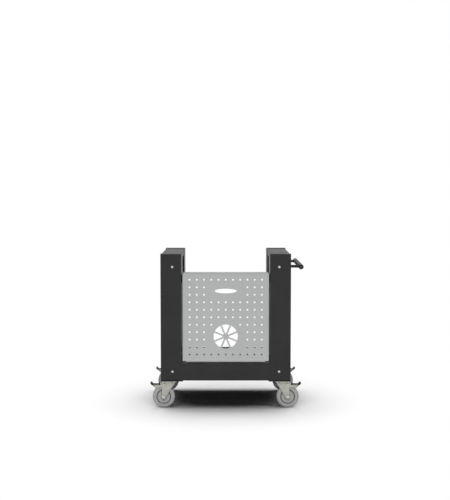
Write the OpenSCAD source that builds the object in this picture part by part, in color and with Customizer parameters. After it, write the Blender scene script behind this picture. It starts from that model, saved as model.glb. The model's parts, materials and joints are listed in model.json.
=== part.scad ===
// Rolling base for an outdoor pizza oven: two folded U frames joined by side panels, a drop-down
// perforated door, a push handle and four braked swivel casters.
// Origin on the floor under the middle of the frame, +X to the handle side, +Y to the back, +Z up.

/* [Frame] */
// Outside width of the frame
frame_w = 722; // [690:1:760]
// Outside depth of the frame
frame_d = 560; // [530:1:620]
// Height of the post tops above the floor
frame_h = 866; // [850:1:920]
// Width of each post, seen from the front
post_w = 115.5; // [108:0.5:124]
// Height of the beam that joins the posts
beam_h = 97.5; // [92:0.5:106]
// Thickness of the frame sheet
frame_t = 2; // [1.5:0.1:2.5]
// Inside radius of the bends in the frame, panels and shelf
bend_r = 2; // [1.5:0.1:2.5]
// Depth of the post's return on the open side
inner_return = 180; // [150:1:200]
// Depth of the post's return on the outside
outer_return = 60; // [45:1:80]
// Depth of the flange on the post's top
top_flange = 60; // [54:1:75]
// Depth of the beam's upper and lower lips
beam_lip = 38; // [36:1:46]
// Open corner left between two bends
bend_relief = 2; // [1:0.5:3]

/* [Corner plates] */
// Side of the square plate that carries a caster
corner_plate = 122; // [114:1:130]
// Thickness of the corner plate
corner_t = 5; // [4:0.5:6]

/* [Side panels] */
// Thickness of the side panel
panel_t = 1.5; // [1:0.1:2]
// Width of the panel's front and rear flanges
panel_flange = 95; // [85:1:100]

/* [Shelf] */
// Thickness of the shelf sheet
shelf_t = 1.5; // [1:0.1:2]
// Depth of the shelf's folded-down edge
shelf_edge = 30; // [20:1:32]
// Gap between the shelf and each side panel
shelf_gap = 0.3; // [0.2:0.1:1]
// Number of rivets in each beam lip
rivet_count = 3; // [2:1:5]
// Shank diameter of a shelf rivet
rivet_d = 4.8; // [4:0.1:5]
// Head diameter of a shelf rivet
rivet_head_d = 9.5; // [8:0.1:11]
// Head height of a shelf rivet
rivet_head_h = 1.3; // [1:0.1:1.6]

/* [Seat rails] */
// Thickness of the rails under the oven's feet
rail_t = 3; // [2:0.1:4]
// Depth of the rail's folded edges
rail_edge = 30; // [20:1:40]
// Diameter of the holes that take the oven's fixing bolts
oven_hole_d = 9; // [7:0.1:11]
// Distance of those holes from the frame's front and rear faces
oven_hole_inset = 30; // [26:1:34]

/* [Frame bolts] */
// Thread diameter of the frame bolts
bolt_d = 8; // [6:0.1:9]
// Diameter of the button head
bolt_head_d = 14; // [12:0.1:16]
// Height of the button head
bolt_head_h = 4.4; // [3:0.1:5]
// Length of the frame bolt under its head
bolt_l = 16; // [14:0.5:20]
// Distance of the frame bolts from the outside of the post
bolt_inset = 65; // [55:0.5:72]
// Height of the lower bolts above the bottom of the beam
bolt_low = 50.5; // [44:0.5:54]
// Distance of the upper bolts below the top of the post
bolt_drop = 72; // [60:0.5:90]
// Width across flats of the nuts and hex heads on M8 bolts
nut_af = 13; // [12:0.1:14]
// Height of the nuts on M8 bolts
nut_h = 6.5; // [5:0.1:7]
// Height of the hex heads on M8 bolts
hex_head_h = 5.3; // [4:0.1:6]

/* [Door] */
// Height of the door
door_h = 504.5; // [440:0.5:520]
// Thickness of the door sheet
door_t = 1.2; // [1:0.1:1.5]
// Gap between the door and each post
door_gap = 2; // [1.8:0.1:3]
// Gap between the door and the beam
door_lift = 2.5; // [1.5:0.1:4]
// Inside radius of the door's bends
door_bend = 11.5; // [9:0.5:12]
// Depth of the door's folded edge
door_edge = 28; // [27:0.5:30]
// Width of the lip behind the door's side edges
door_lip = 12; // [10:0.5:14]
// Width of the notch at each end of the door's bottom edge
notch_w = 24; // [18:0.5:30]
// Height of that notch
notch_h = 11; // [7:0.5:12.5]

/* [Door holes] */
// Diameter of the perforations
hole_d = 10; // [6:0.5:14]
// Distance between columns of holes
hole_pitch_x = 40; // [36:0.1:41]
// Distance between rows of holes
hole_pitch_z = 41.7; // [34:0.1:42]
// How far the middle row of holes lies above the middle of the door
hole_rise = 2.8; // [0:0.1:5]
// Width of the oval finger slot
slot_w = 122; // [90:1:130]
// Height of the finger slot
slot_h = 25.4; // [22:0.1:32]
// Outside radius of the sliced vent
vent_r = 67; // [50:1:72]
// Inside radius of the sliced vent
vent_hub_r = 17; // [12:1:22]
// Width of the bars between the vent's slices
vent_bar = 9; // [6:0.5:12]
// Number of slices in the vent
vent_slices = 8; // [6:1:10]

/* [Door hinge] */
// Height of the hinge pins above the bottom of the door
hinge_rise = 50; // [42:0.5:56]
// Distance of the hinge pins behind the door's face
hinge_setback = 19.5; // [19:0.1:20]
// Diameter of the hinge and stop pins
hinge_pin_d = 8; // [6:0.1:8.5]
// Wall of the plain bush round the hinge pin
bush_wall = 1.8; // [1.2:0.1:2]
// Length of the bush behind the door's side edge
bush_l = 8; // [6:0.5:10]
// Thickness of the bush's collar in the gap beside the door
bush_collar = 1.5; // [1:0.1:1.6]
// Thickness of the plate behind the post that holds the pins
hinge_plate_t = 3; // [2:0.1:4]
// Distance of the stop pin behind the hinge pin
stop_back = 35; // [25:0.5:40]
// How far the door drops
door_swing = 90; // [60:1:90]

/* [Door catches] */
// Height of a catch
catch_h = 46; // [40:1:60]
// Width of a catch, inwards from the post
catch_w = 14; // [12:0.5:16]
// Depth of a catch
catch_d = 18; // [14:0.5:24]
// Distance of the catches below the top of the door
catch_drop = 38; // [34:1:60]
// Thickness of the magnet in a catch
magnet_t = 4; // [3:0.1:6]
// Thickness of the strike on the door's lip
strike_t = 1.5; // [1:0.1:2]

/* [Handle] */
// Diameter of the handle bar
handle_d = 28; // [24:0.5:32]
// Wall of the handle tube
handle_wall = 2; // [1.5:0.1:3]
// Distance from the front and the back of the frame to the ends of the bar
handle_inset = 40; // [30:1:60]
// Distance of the bar's axis from the side of the frame
handle_reach = 59; // [50:0.5:70]
// Distance of the bar's axis below the top of the posts
handle_drop = 75; // [60:1:120]
// Diameter of the arms that hold the bar
arm_d = 16; // [14:0.5:20]
// Distance from a frame's outer return to the middle of an arm
arm_past_return = 30; // [22:1:60]
// Diameter of the foot of an arm
arm_foot_d = 34; // [28:0.5:40]
// Thickness of the foot of an arm
arm_foot_t = 4; // [3:0.5:6]
// Thickness of an end cap
cap_t = 5; // [4:0.5:8]

/* [Caster wheels] */
// Diameter of the wheel
wheel_d = 125; // [121:0.5:127]
// Width of the tyre
tyre_w = 32; // [28:0.5:33]
// Radius of the tyre's shoulders
shoulder_r = 7; // [4:0.5:9]
// Diameter of the hub where the tyre seats
hub_d = 76; // [70:0.5:84]
// Thickness of the hub between its rim and its boss
hub_web = 24; // [16:0.5:26]
// Diameter of the axle bolt
axle_d = 10; // [8:0.1:12]
// Outside diameter of the wheel bearings
bearing_d = 22; // [19:0.1:26]
// Width of one wheel bearing
bearing_w = 8; // [6:0.1:9]

/* [Caster body] */
// Height of the caster, floor to the top of its plate
caster_h = 155; // [153:0.5:160]
// Distance of the swivel axis from the side of the frame
caster_in_x = 43; // [43:0.5:48]
// Distance of the swivel axis from the front or rear of the frame
caster_in_y = 53; // [53:0.5:56]
// Distance from the swivel axis to the wheel's axle
trail = 29; // [26:0.5:31]
// Size of the caster plate across the cart
plate_x = 85; // [82:0.5:86]
// Size of the caster plate along the cart
plate_y = 105; // [100:0.5:106]
// Thickness of the caster plate
plate_t = 3; // [2.5:0.1:4]
// Bolt spacing across the cart
plate_bolt_x = 60; // [58:0.5:61]
// Bolt spacing along the cart
plate_bolt_y = 80; // [78:0.5:81]
// Thickness of the fork's sides and crown
fork_t = 2.5; // [2:0.1:3]
// Space between the fork's sides
fork_gap = 44; // [43.5:0.1:46]
// Diameter of the swivel's kingpin
kingpin_d = 12; // [10:0.1:14]
// Diameter of the swivel's balls
ball_d = 6; // [5:0.1:6.5]
// Number of balls in a swivel
ball_count = 12; // [8:1:16]

/* [Brake pedals] */
// Angle through which a pedal is pressed
pedal_press = 10; // [6:0.5:11]
// Diameter of the pedal's pivot pin
pedal_pin_d = 6; // [5:0.1:6.5]
// Thickness of the pedal's sheet
pedal_t = 2.5; // [2:0.1:3]
// Thickness of the plastic sleeve on the pedal
sleeve_t = 7.5; // [6.5:0.5:9]
// Length of the sleeve along the pedal
sleeve_l = 18; // [16:0.5:20]

/* [Hidden] */

$fn = 96;

// Colours as the photo shows them
paint = "#38383a";
steel = "#b4b5b5";
zinc = "#b6b6ae";
bright = "#d8d8d8";
rubber = "#929292";
plastic = "#202020";

// Overrun of cuts, running fits and seats
cut = 1;
run_gap = 0.05;
bolt_clear = 0.25;
seat_gap = 0.3;

// Levels and planes of the frame
half_w = frame_w / 2;
half_d = frame_d / 2;
base_z = caster_h + corner_t;
beam_top = base_z + beam_h;
open_half = half_w - post_w;
fold = bend_r + frame_t;
panel_x = half_w - frame_t;
panel_y = half_d - frame_t;
panel_fold = bend_r + panel_t;
upper_bolt_z = frame_h - bolt_drop;
lower_bolt_z = base_z + bolt_low;
bolt_x = half_w - bolt_inset;
handle_l = frame_d - 2 * handle_inset;
arm_pitch = frame_d - 2 * (outer_return + arm_past_return);
oven_hole_x = half_w - post_w / 2;
oven_hole_y = half_d - oven_hole_inset;
shelf_top = beam_top - frame_t;
shelf_half_x = panel_x - panel_t - shelf_gap;
shelf_half_y = panel_y - panel_t - bend_r;
rivet_y = half_d - beam_lip + rivet_head_d / 2 + cut;
rivet_span = open_half;

// Levels and planes of the door
door_half = open_half - door_gap;
door_z = beam_top + door_lift;
door_mid = door_z + door_h / 2;
door_fold = door_bend + door_t;
door_back = half_d - door_edge;
hinge_y = -half_d + hinge_setback;
hinge_z = door_z + hinge_rise;
bush_r = hinge_pin_d / 2 + run_gap + bush_wall;
collar_r = bush_r + bush_wall;
stop_y = hinge_y + stop_back;
stop_pin_r = hinge_pin_d / 2;
lip_reach = door_edge - hinge_setback;
stop_z = hinge_z + (lip_reach + seat_gap + stop_pin_r - stop_back * cos(door_swing)) / sin(door_swing);
hinge_plate_edge = 2 * hinge_pin_d;
pin_reach = bush_l + door_t;
row_left_out = [0, 5, 5, 0, 0, 0, 3, 5, 5, 5, 0];
hole_rows = len(row_left_out);
hole_cols = 11;
slot_row_share = 1.5;
vent_row_share = 7.58;
first_row_z = door_mid + hole_rise + hole_pitch_z * (hole_rows - 1) / 2;
slot_z = first_row_z - slot_row_share * hole_pitch_z;
vent_z = first_row_z - vent_row_share * hole_pitch_z;

// Door catches
catch_z = door_z + door_h - catch_drop;
strike_h_share = 0.8;
magnet_h_share = 0.7;
magnet_w_share = 0.6;
strike_w = door_lip - 2 * door_t;
strike_x = door_half - door_lip + strike_w / 2;
strike_h = catch_h * strike_h_share;
magnet_h = catch_h * magnet_h_share;
magnet_w = catch_w * magnet_w_share;
catch_y = -door_back + strike_t + seat_gap;

// Handle
handle_x = half_w + handle_reach;
handle_z = frame_h - handle_drop;
handle_r = handle_d / 2;
cap_plug = 2 * cap_t;
cap_round_share = 0.8;
cap_round = cap_t * cap_round_share;
socket_share = 0.36;
screw_head_d = 14;
screw_head_h = 5;
screw_reach = 20;

// Caster, in its own frame: swivel axis on Z, wheel trailing along +X
wheel_r = wheel_d / 2;
hub_r = hub_d / 2;
groove_r = 2;
hub_rim = 7;
hub_rim_inset = 0.5;
hub_rim_w = tyre_w - 2 * hub_rim_inset;
boss_wall = 6;
boss_gap = 2;
boss_r = bearing_d / 2 + boss_wall;
boss_w = fork_gap - 2 * boss_gap;
plate_z = caster_h - plate_t;
race_h = 9;
race_wall = 2;
race_r = plate_bolt_y / 2 - nut_af / 2;
race_hub_share = 0.6;
ball_ring_share = 0.79;
race_hub_r = race_r * race_hub_share;
ball_ring_r = race_r * ball_ring_share;
race_hub_gap = 1;
ball_z = plate_z - run_gap - ball_d / 2;
swivel_gap = 2;
fork_top = plate_z - race_h - swivel_gap;
ring_top = ball_z - ball_d / 2 - run_gap;
ring_gap = 2;
ring_r1 = race_hub_r + ring_gap;
ring_r2 = race_r - race_wall - ring_gap;
kingpin_head_share = 0.85;
kingpin_head_r = kingpin_d * kingpin_head_share;
kingpin_head_h = 4;
fork_half = fork_gap / 2;
fork_out = fork_half + fork_t;
crown_in = 31;
crown_past_axle = 18;
crown_out = trail + crown_past_axle;
crown_h = 9;
wing_h = 15;
leg_past_axle = 9;
leg_out = trail + leg_past_axle;
leg_drop = 31;
axle_eye_r = 11;
crease_before_axle = 9;
knee_x = 24;
knee_drop = 13;
leg_rib_t = 1;
axle_head_af = 16;
axle_head_h = 6;
axle_nut_h = 8;
axle_tail = 3;

// Brake pedal, beside the same axis
pivot_past_axle = 1;
pivot_below_crown = 6;
pivot_x = trail + pivot_past_axle;
pivot_z = fork_top - fork_t - pivot_below_crown;
pivot_eye_r = 5.5;
cheek_out = fork_half - seat_gap;
cheek_in = cheek_out - pedal_t;
pedal_top_z = pivot_z + pivot_eye_r;
web_gap = 1;
web_drop = 12.5;
web_x = crown_out + web_gap;
web_z = fork_top - web_drop;
cheek_h = 14;
pad_tilt = 45;
pad_reach = 49;
pad_fall = 17.5;
pad_x = pivot_x + pad_reach;
pad_z = pivot_z - pad_fall;
pad_l = 31.8;
cheek_past_pad = 2;
cheek_tip_x = 5;
cheek_tip_z = 7;
sleeve_over = 3;
sleeve_side = 2;
sleeve_round = 3;
lever_x = web_x + 2 * web_gap;
lever_half = 10;
lever_t = 1.6;
lever_rise = 3.3;
lever_block_l = 8;
lever_block_h = 10.5;
shoe_x1 = 21;
shoe_x2 = 37;
shoe_inset = 2;
shoe_half = tyre_w / 2 - shoe_inset;
pin_head_share = 0.8;
pin_head_r = pedal_pin_d * pin_head_share;
pin_head_h = 2;

// Where each caster stands: side and end of the cart, as signs
caster_x = half_w - caster_in_x;
caster_y = half_d - caster_in_y;

// Quarter of a sheet bend in the first quadrant
module bend_quarter(r, t) {
  intersection() {
    difference() {
      circle(r = r + t);
      circle(r = r);
    }
    square(r + t);
  }
}

// Bend and flange at the left end of a web that lies on the X axis; the flange rises along +Y
module flange_outline(depth, t, r) {
  translate([r + t, r + t])
    rotate(180)
      bend_quarter(r, t);
  translate([0, r + t])
    square([t, depth - r - t]);
}

// Folded channel: web on the X axis from 0 to w, both flanges rising along +Y
module channel_outline(w, depth, t, r) {
  translate([r + t, 0])
    square([w - 2 * (r + t), t]);
  flange_outline(depth, t, r);
  translate([w, 0])
    mirror([1, 0])
      flange_outline(depth, t, r);
}

// Lip folded back from a web's upper edge, len long along X; the web's face is at y = 0
module folded_lip(len, depth, t, r) {
  rotate([90, 0, 90])
    linear_extrude(height = len, center = true) {
      translate([r + t, 0])
        rotate(90)
          bend_quarter(r, t);
      translate([r + t, r])
        square([depth - r - t, t]);
    }
}

// Rectangle with round corners, drawn from squares and circles
module round_rect(w, h, r) {
  translate([r, 0])
    square([w - 2 * r, h]);
  translate([0, r])
    square([w, h - 2 * r]);
  for (x = [r, w - r])
    for (y = [r, h - r])
      translate([x, y])
        circle(r = r);
}

// Cylinder along +X from x
module rod_x(x, len, r) {
  translate([x, 0, 0])
    rotate([0, 90, 0])
      cylinder(h = len, r = r);
}

// Cylinder along +Y from y
module rod_y(y, len, r) {
  translate([0, y, 0])
    rotate([-90, 0, 0])
      cylinder(h = len, r = r);
}

// Hexagonal prism on Z with width af across its flats
module hex_prism(af, h) {
  cylinder(h = h, r = af / sqrt(3), $fn = 6);
}

module both_sides() {
  children();
  mirror([1, 0, 0])
    children();
}

module both_ends() {
  children();
  mirror([0, 1, 0])
    children();
}

// Drawn at the four casters' swivel axes, each turned so that its +X points out of the cart
module at_caster(side, end) {
  translate([side * caster_x, end * caster_y, 0])
    rotate(side > 0 ? 0 : 180)
      children();
}

module at_plate_bolts() {
  for (x = [-plate_bolt_x / 2, plate_bolt_x / 2])
    for (y = [-plate_bolt_y / 2, plate_bolt_y / 2])
      translate([x, y, 0])
        children();
}

// Positions of the shelf's rivets on the front lip
module at_rivets() {
  for (i = [0 : rivet_count - 1])
    translate([(i / (rivet_count - 1) - 1 / 2) * rivet_span, -rivet_y, 0])
      children();
}

// One post of the front frame on the right: web, returns and top flange
module post() {
  web_low = base_z + fold;
  inner_low = beam_top + bend_relief;
  top_l = post_w - 2 * (fold + bend_relief);
  translate([open_half + fold, -half_d, web_low])
    cube([post_w - 2 * fold, frame_t, frame_h - fold - web_low]);
  translate([half_w, -half_d, base_z])
    linear_extrude(height = frame_h - base_z)
      mirror([1, 0])
        flange_outline(outer_return, frame_t, bend_r);
  translate([open_half, -half_d, inner_low])
    linear_extrude(height = frame_h - inner_low)
      flange_outline(inner_return, frame_t, bend_r);
  translate([half_w - post_w / 2, -half_d, frame_h - fold])
    folded_lip(top_l, top_flange, frame_t, bend_r);
}

// Beam of the front frame: web, upper lip and lower lip
module beam() {
  translate([-open_half - fold, -half_d, base_z + fold])
    cube([2 * (open_half + fold), frame_t, beam_h - 2 * fold]);
  translate([0, -half_d, beam_top - fold])
    folded_lip(2 * (open_half - bend_relief), beam_lip, frame_t, bend_r);
  translate([0, -half_d, base_z + fold])
    mirror([0, 0, 1])
      folded_lip(2 * (half_w - fold - bend_relief), beam_lip, frame_t, bend_r);
}

// Front U frame, or the rear one before it is mirrored
module u_frame() {
  difference() {
    union() {
      both_sides()
        post();
      beam();
    }
    both_sides()
      u_frame_holes();
    at_rivets()
      translate([0, 0, shelf_top - cut])
        cylinder(h = frame_t + 2 * cut, d = rivet_d + 2 * run_gap);
  }
}

// Bolt holes of one post, right side
module u_frame_holes() {
  for (z = [lower_bolt_z, upper_bolt_z])
    translate([bolt_x, 0, z])
      rod_y(-half_d - cut, frame_t + 2 * cut, bolt_d / 2 + bolt_clear);
  translate([oven_hole_x, -oven_hole_y, frame_h - frame_t - cut])
    cylinder(h = frame_t + 2 * cut, d = oven_hole_d);
  at_caster(1, -1)
    at_plate_bolts()
      translate([0, 0, base_z - cut])
        cylinder(h = frame_t + 2 * cut, r = bolt_d / 2 + bolt_clear);
}

// Holes for the hinge and stop pins through the post's return, right side
module hinge_holes() {
  translate([0, hinge_y, hinge_z])
    rod_x(open_half - cut, frame_t + 2 * cut, hinge_pin_d / 2 + run_gap);
  translate([0, stop_y, stop_z])
    rod_x(open_half - cut, frame_t + 2 * cut, stop_pin_r + run_gap);
}

module front_frame() {
  color(paint)
    difference() {
      u_frame();
      both_sides()
        hinge_holes();
    }
}

module rear_frame() {
  color(paint)
    mirror([0, 1, 0])
      u_frame();
}

// Side panel: a shallow channel bolted behind the posts, right side
module side_panel() {
  low = base_z + fold;
  difference() {
    translate([panel_x, -panel_y, low])
      rotate(90)
        linear_extrude(height = frame_h - fold - low)
          channel_outline(2 * panel_y, panel_flange, panel_t, bend_r);
    both_ends()
      for (z = [lower_bolt_z, upper_bolt_z])
        translate([bolt_x, 0, z])
          rod_y(-panel_y - cut, panel_t + 2 * cut, bolt_d / 2 + bolt_clear);
  }
}

module side_panel_left() {
  color(paint)
    mirror([1, 0, 0])
      side_panel();
}

module side_panel_right() {
  color(paint)
    difference() {
      side_panel();
      for (y = [-arm_pitch / 2, arm_pitch / 2])
        translate([0, y, handle_z])
          rod_x(panel_x - panel_t - cut, panel_t + 2 * cut, bolt_d / 2 + bolt_clear);
    }
}

// Plate welded under a corner of the frame
module corner_plate_at(side, end) {
  color(paint)
    difference() {
      scale([side, end, 1])
        translate([half_w - corner_plate, half_d - corner_plate, caster_h])
          cube([corner_plate, corner_plate, corner_t]);
      at_caster(side, end)
        at_plate_bolts()
          translate([0, 0, caster_h - cut])
            cylinder(h = corner_t + 2 * cut, r = bolt_d / 2 + bolt_clear);
    }
}

// Shelf: a tray turned upside down under the beams' upper lips
module shelf() {
  edge_fold = bend_r + shelf_t;
  flat_x = shelf_half_x - edge_fold;
  flat_y = shelf_half_y - edge_fold;
  color(paint)
    difference() {
      union() {
        translate([-flat_x, -flat_y, shelf_top - shelf_t])
          cube([2 * flat_x, 2 * flat_y, shelf_t]);
        both_ends()
          translate([0, -flat_y, shelf_top])
            folded_down(2 * (flat_x - bend_relief), shelf_edge, shelf_t);
        both_sides()
          translate([flat_x, 0, shelf_top])
            rotate(90)
              folded_down(2 * (flat_y - bend_relief), shelf_edge, shelf_t);
      }
      both_ends()
        at_rivets()
          translate([0, 0, shelf_top - shelf_t - cut])
            cylinder(h = shelf_t + 2 * cut, d = rivet_d + 2 * run_gap);
    }
}

// Edge folded down at the front of a flat sheet, len long along X; the sheet's top is at z = 0
module folded_down(len, depth, t) {
  fold_out = bend_r + t;
  rotate([90, 0, 90])
    linear_extrude(height = len, center = true) {
      translate([0, -fold_out])
        rotate(90)
          bend_quarter(bend_r, t);
      translate([-fold_out, -depth])
        square([t, depth - fold_out]);
    }
}

// Blind rivets that hold the shelf under the lips
module shelf_rivets() {
  color(bright)
    both_ends()
      at_rivets() {
        translate([0, 0, beam_top])
          cylinder(h = rivet_head_h, d1 = rivet_head_d, d2 = rivet_d);
        translate([0, 0, shelf_top - shelf_t - rivet_head_h])
          cylinder(h = rivet_head_h + shelf_t + frame_t + cut / 2, d = rivet_d);
      }
}

// Rail under the posts' top flanges, right side
module seat_rail() {
  x = open_half + frame_t;
  w = panel_x - panel_t - x;
  len = 2 * (panel_y - panel_t - bend_r);
  top = frame_h - frame_t;
  difference() {
    translate([x, len / 2, top])
      rotate([90, 0, 0])
        linear_extrude(height = len)
          mirror([0, 1])
            channel_outline(w, rail_edge, rail_t, bend_r);
    both_ends()
      translate([oven_hole_x, -oven_hole_y, top - rail_t - cut])
        cylinder(h = rail_t + 2 * cut, d = oven_hole_d);
  }
}

module seat_rail_right() {
  color(paint)
    seat_rail();
}

module seat_rail_left() {
  color(paint)
    mirror([1, 0, 0])
      seat_rail();
}

// Drawn at the four frame bolts of each end, with +Z pointing out of the cart
module at_frame_bolts() {
  both_ends()
    both_sides()
      for (z = [lower_bolt_z, upper_bolt_z])
        translate([bolt_x, -half_d, z])
          rotate([90, 0, 0])
            children();
}

module frame_bolts() {
  color(bright)
    at_frame_bolts() {
      button_head(bolt_head_d, bolt_head_h);
      translate([0, 0, -bolt_l])
        cylinder(h = bolt_l, d = bolt_d);
    }
}

// Button head: part of a ball over a short rim, with a hexagon socket
module button_head(d, h) {
  rim = h / 5;
  dome_r = (d * d / 4 + (h - rim) * (h - rim)) / (2 * (h - rim));
  difference() {
    union() {
      cylinder(h = rim, d = d);
      intersection() {
        translate([0, 0, h - dome_r])
          sphere(r = dome_r);
        translate([0, 0, rim])
          cylinder(h = h, d = d);
      }
    }
    translate([0, 0, h / 2])
      hex_prism(d * socket_share, h);
  }
}

// Nut with its thread bore, standing on z = 0
module nut(af, h, d) {
  difference() {
    hex_prism(af, h);
    translate([0, 0, -cut])
      cylinder(h = h + 2 * cut, d = d + 2 * run_gap);
  }
}

module frame_nuts() {
  color(bright)
    at_frame_bolts()
      translate([0, 0, -frame_t - panel_t - nut_h])
        nut(nut_af, nut_h, bolt_d);
}

// Plate that carries the hinge and stop pins, hidden inside each post
module hinge_plates() {
  low = hinge_z - hinge_plate_edge / 2;
  color(zinc)
    both_sides()
      difference() {
        translate([open_half + frame_t, -panel_y + panel_t + bend_r, low])
          cube([hinge_plate_t, stop_y + hinge_plate_edge / 2 + panel_y - panel_t - bend_r,
                stop_z - hinge_z + hinge_plate_edge]);
        translate([0, hinge_y, hinge_z])
          rod_x(open_half + frame_t - cut, hinge_plate_t + 2 * cut, hinge_pin_d / 2 + run_gap);
        translate([0, stop_y, stop_z])
          rod_x(open_half + frame_t - cut, hinge_plate_t + 2 * cut, stop_pin_r + run_gap);
      }
}

// Pin from the hinge plate into the door's bush
module hinge_pins() {
  color(bright)
    both_sides()
      translate([0, hinge_y, hinge_z])
        rod_x(door_half - pin_reach, open_half + frame_t + hinge_plate_t - door_half + pin_reach,
              hinge_pin_d / 2);
}

// Pin that the open door comes to rest against
module stop_pins() {
  color(bright)
    both_sides()
      translate([0, stop_y, stop_z])
        rod_x(door_half - bush_l, open_half + frame_t + hinge_plate_t - door_half + bush_l, stop_pin_r);
}

// Catch housings on the posts' returns, each with a pocket for its magnet
module door_catches() {
  color(plastic)
    both_sides()
      difference() {
        translate([open_half - catch_w, catch_y, catch_z - catch_h / 2])
          cube([catch_w, catch_d, catch_h]);
        translate([strike_x - magnet_w / 2, catch_y - cut, catch_z - magnet_h / 2])
          cube([magnet_w, magnet_t + cut, magnet_h]);
      }
}

module catch_magnets() {
  color(steel)
    both_sides()
      translate([strike_x - magnet_w / 2, catch_y, catch_z - magnet_h / 2])
        cube([magnet_w, magnet_t, magnet_h]);
}

// Handle tube along Y
module handle_bar() {
  color(paint)
    translate([handle_x, 0, handle_z])
      difference() {
        rod_y(-handle_l / 2 + cap_t, handle_l - 2 * cap_t, handle_r);
        rod_y(-handle_l / 2, handle_l, handle_r - handle_wall);
      }
}

// Rounded plugs in both ends of the tube
module handle_caps() {
  plug_r = handle_r - handle_wall - run_gap;
  color(plastic)
    both_ends()
      translate([handle_x, -handle_l / 2 + cap_t, handle_z])
        rotate([90, 0, 0])
          rotate_extrude() {
            square([handle_r, cap_t - cap_round]);
            square([handle_r - cap_round, cap_t]);
            translate([handle_r - cap_round, cap_t - cap_round])
              intersection() {
                circle(r = cap_round);
                square(cap_round);
              }
            translate([0, -cap_plug])
              square([plug_r, cap_plug]);
          }
}

// Arms between the side panel and the tube, each with a round foot and a threaded bore
module handle_arms() {
  color(paint)
    for (y = [-arm_pitch / 2, arm_pitch / 2])
      translate([0, y, handle_z])
        difference() {
          union() {
            rod_x(panel_x, handle_x - panel_x, arm_d / 2);
            rod_x(panel_x, arm_foot_t, arm_foot_d / 2);
          }
          translate([handle_x, 0, 0])
            rod_y(-arm_foot_d, 2 * arm_foot_d, handle_r);
          rod_x(panel_x - cut, screw_reach + cut, bolt_d / 2 + run_gap);
        }
}

// Screws from inside the side panel into the arms
module handle_screws() {
  inside = panel_x - panel_t;
  color(bright)
    for (y = [-arm_pitch / 2, arm_pitch / 2])
      translate([inside, y, handle_z]) {
        rod_x(0, panel_t + screw_reach - cut, bolt_d / 2);
        rotate([0, -90, 0])
          button_head(screw_head_d, screw_head_h);
      }
}

// Flat part of the door's face, with open notches at the bottom corners
module door_face() {
  side = door_half - door_fold;
  foot = door_half - notch_w;
  translate([-foot, -half_d, door_z + door_fold])
    cube([2 * foot, door_t, door_h - 2 * door_fold]);
  both_sides()
    translate([foot, -half_d, door_z + notch_h])
      cube([side - foot, door_t, door_h - notch_h - door_fold]);
}

// Bend, side edge and rear lip of the door, right side
module door_side() {
  translate([door_half, -half_d, door_z + notch_h])
    linear_extrude(height = door_h - notch_h - door_fold)
      mirror([1, 0]) {
        flange_outline(door_edge, door_t, door_bend);
        translate([0, door_edge - door_t])
          square([door_lip, door_t]);
      }
}

// Round top corner of the door, right side: a ball's eighth in front and a quarter tube behind it
module door_corner() {
  translate([door_half - door_fold, -half_d + door_fold, door_z + door_h - door_fold]) {
    mirror([0, 1, 0])
      rotate_extrude(angle = 90)
        bend_quarter(door_bend, door_t);
    stand_up(0, door_edge - door_fold)
      bend_quarter(door_bend, door_t);
  }
}

// Oval finger slot through the face
module finger_slot() {
  translate([0, 0, slot_z])
    scale([1, 1, slot_h / slot_w])
      rod_y(-half_d - cut, door_t + 2 * cut, slot_w / 2);
}

// Round vent cut like a sliced pie
module sliced_vent() {
  slice = 360 / vent_slices;
  translate([0, -half_d - cut, vent_z])
    rotate([-90, 0, 0])
      linear_extrude(height = door_t + 2 * cut)
        difference() {
          circle(r = vent_r);
          circle(r = vent_hub_r);
          for (i = [0 : vent_slices - 1])
            rotate((i + 1 / 2) * slice)
              translate([0, -vent_bar / 2])
                square([vent_r + cut, vent_bar]);
        }
}

// Rows of round holes; the middle of some rows is left whole for the slot and the vent
module door_holes() {
  middle = (hole_cols - 1) / 2;
  for (row = [0 : hole_rows - 1])
    for (col = [0 : hole_cols - 1])
      if (2 * abs(col - middle) > row_left_out[row] - 1)
        translate([(col - middle) * hole_pitch_x, 0, first_row_z - row * hole_pitch_z])
          rod_y(-half_d - cut, door_t + 2 * cut, hole_d / 2);
}

module door_panel() {
  top_l = 2 * (door_half - door_fold);
  foot_l = 2 * (door_half - notch_w);
  color(steel)
    difference() {
      union() {
        door_face();
        both_sides() {
          door_side();
          door_corner();
        }
        translate([0, -half_d, door_z + door_h - door_fold])
          folded_lip(top_l, door_edge, door_t, door_bend);
        translate([0, -half_d, door_z + door_fold])
          mirror([0, 0, 1])
            folded_lip(foot_l, door_edge, door_t, door_bend);
      }
      door_holes();
      finger_slot();
      sliced_vent();
      both_sides()
        translate([0, hinge_y, hinge_z])
          rod_x(door_half - door_t - cut, door_t + 2 * cut, bush_r + run_gap);
    }
}

// Collared plain bushes in the door's side edges
module hinge_bushes() {
  color(rubber)
    both_sides()
      translate([0, hinge_y, hinge_z])
        difference() {
          union() {
            rod_x(door_half - bush_l, bush_l, bush_r);
            rod_x(door_half, bush_collar, collar_r);
          }
          rod_x(door_half - bush_l - cut, bush_l + bush_collar + 2 * cut, hinge_pin_d / 2 + run_gap);
        }
}

// Steel strikes on the door's rear lips
module strike_plates() {
  color(zinc)
    both_sides()
      translate([strike_x - strike_w / 2, -door_back, catch_z - strike_h / 2])
        cube([strike_w, strike_t, strike_h]);
}

// Bolts of the caster plates, heads below
module caster_bolts() {
  len = plate_t + corner_t + frame_t + nut_h + 2 * cut;
  color(bright)
    for (side = [-1, 1])
      for (end = [-1, 1])
        at_caster(side, end)
          at_plate_bolts() {
            translate([0, 0, plate_z - hex_head_h])
              hex_prism(nut_af, hex_head_h);
            translate([0, 0, plate_z])
              cylinder(h = len, d = bolt_d);
          }
}

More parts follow.
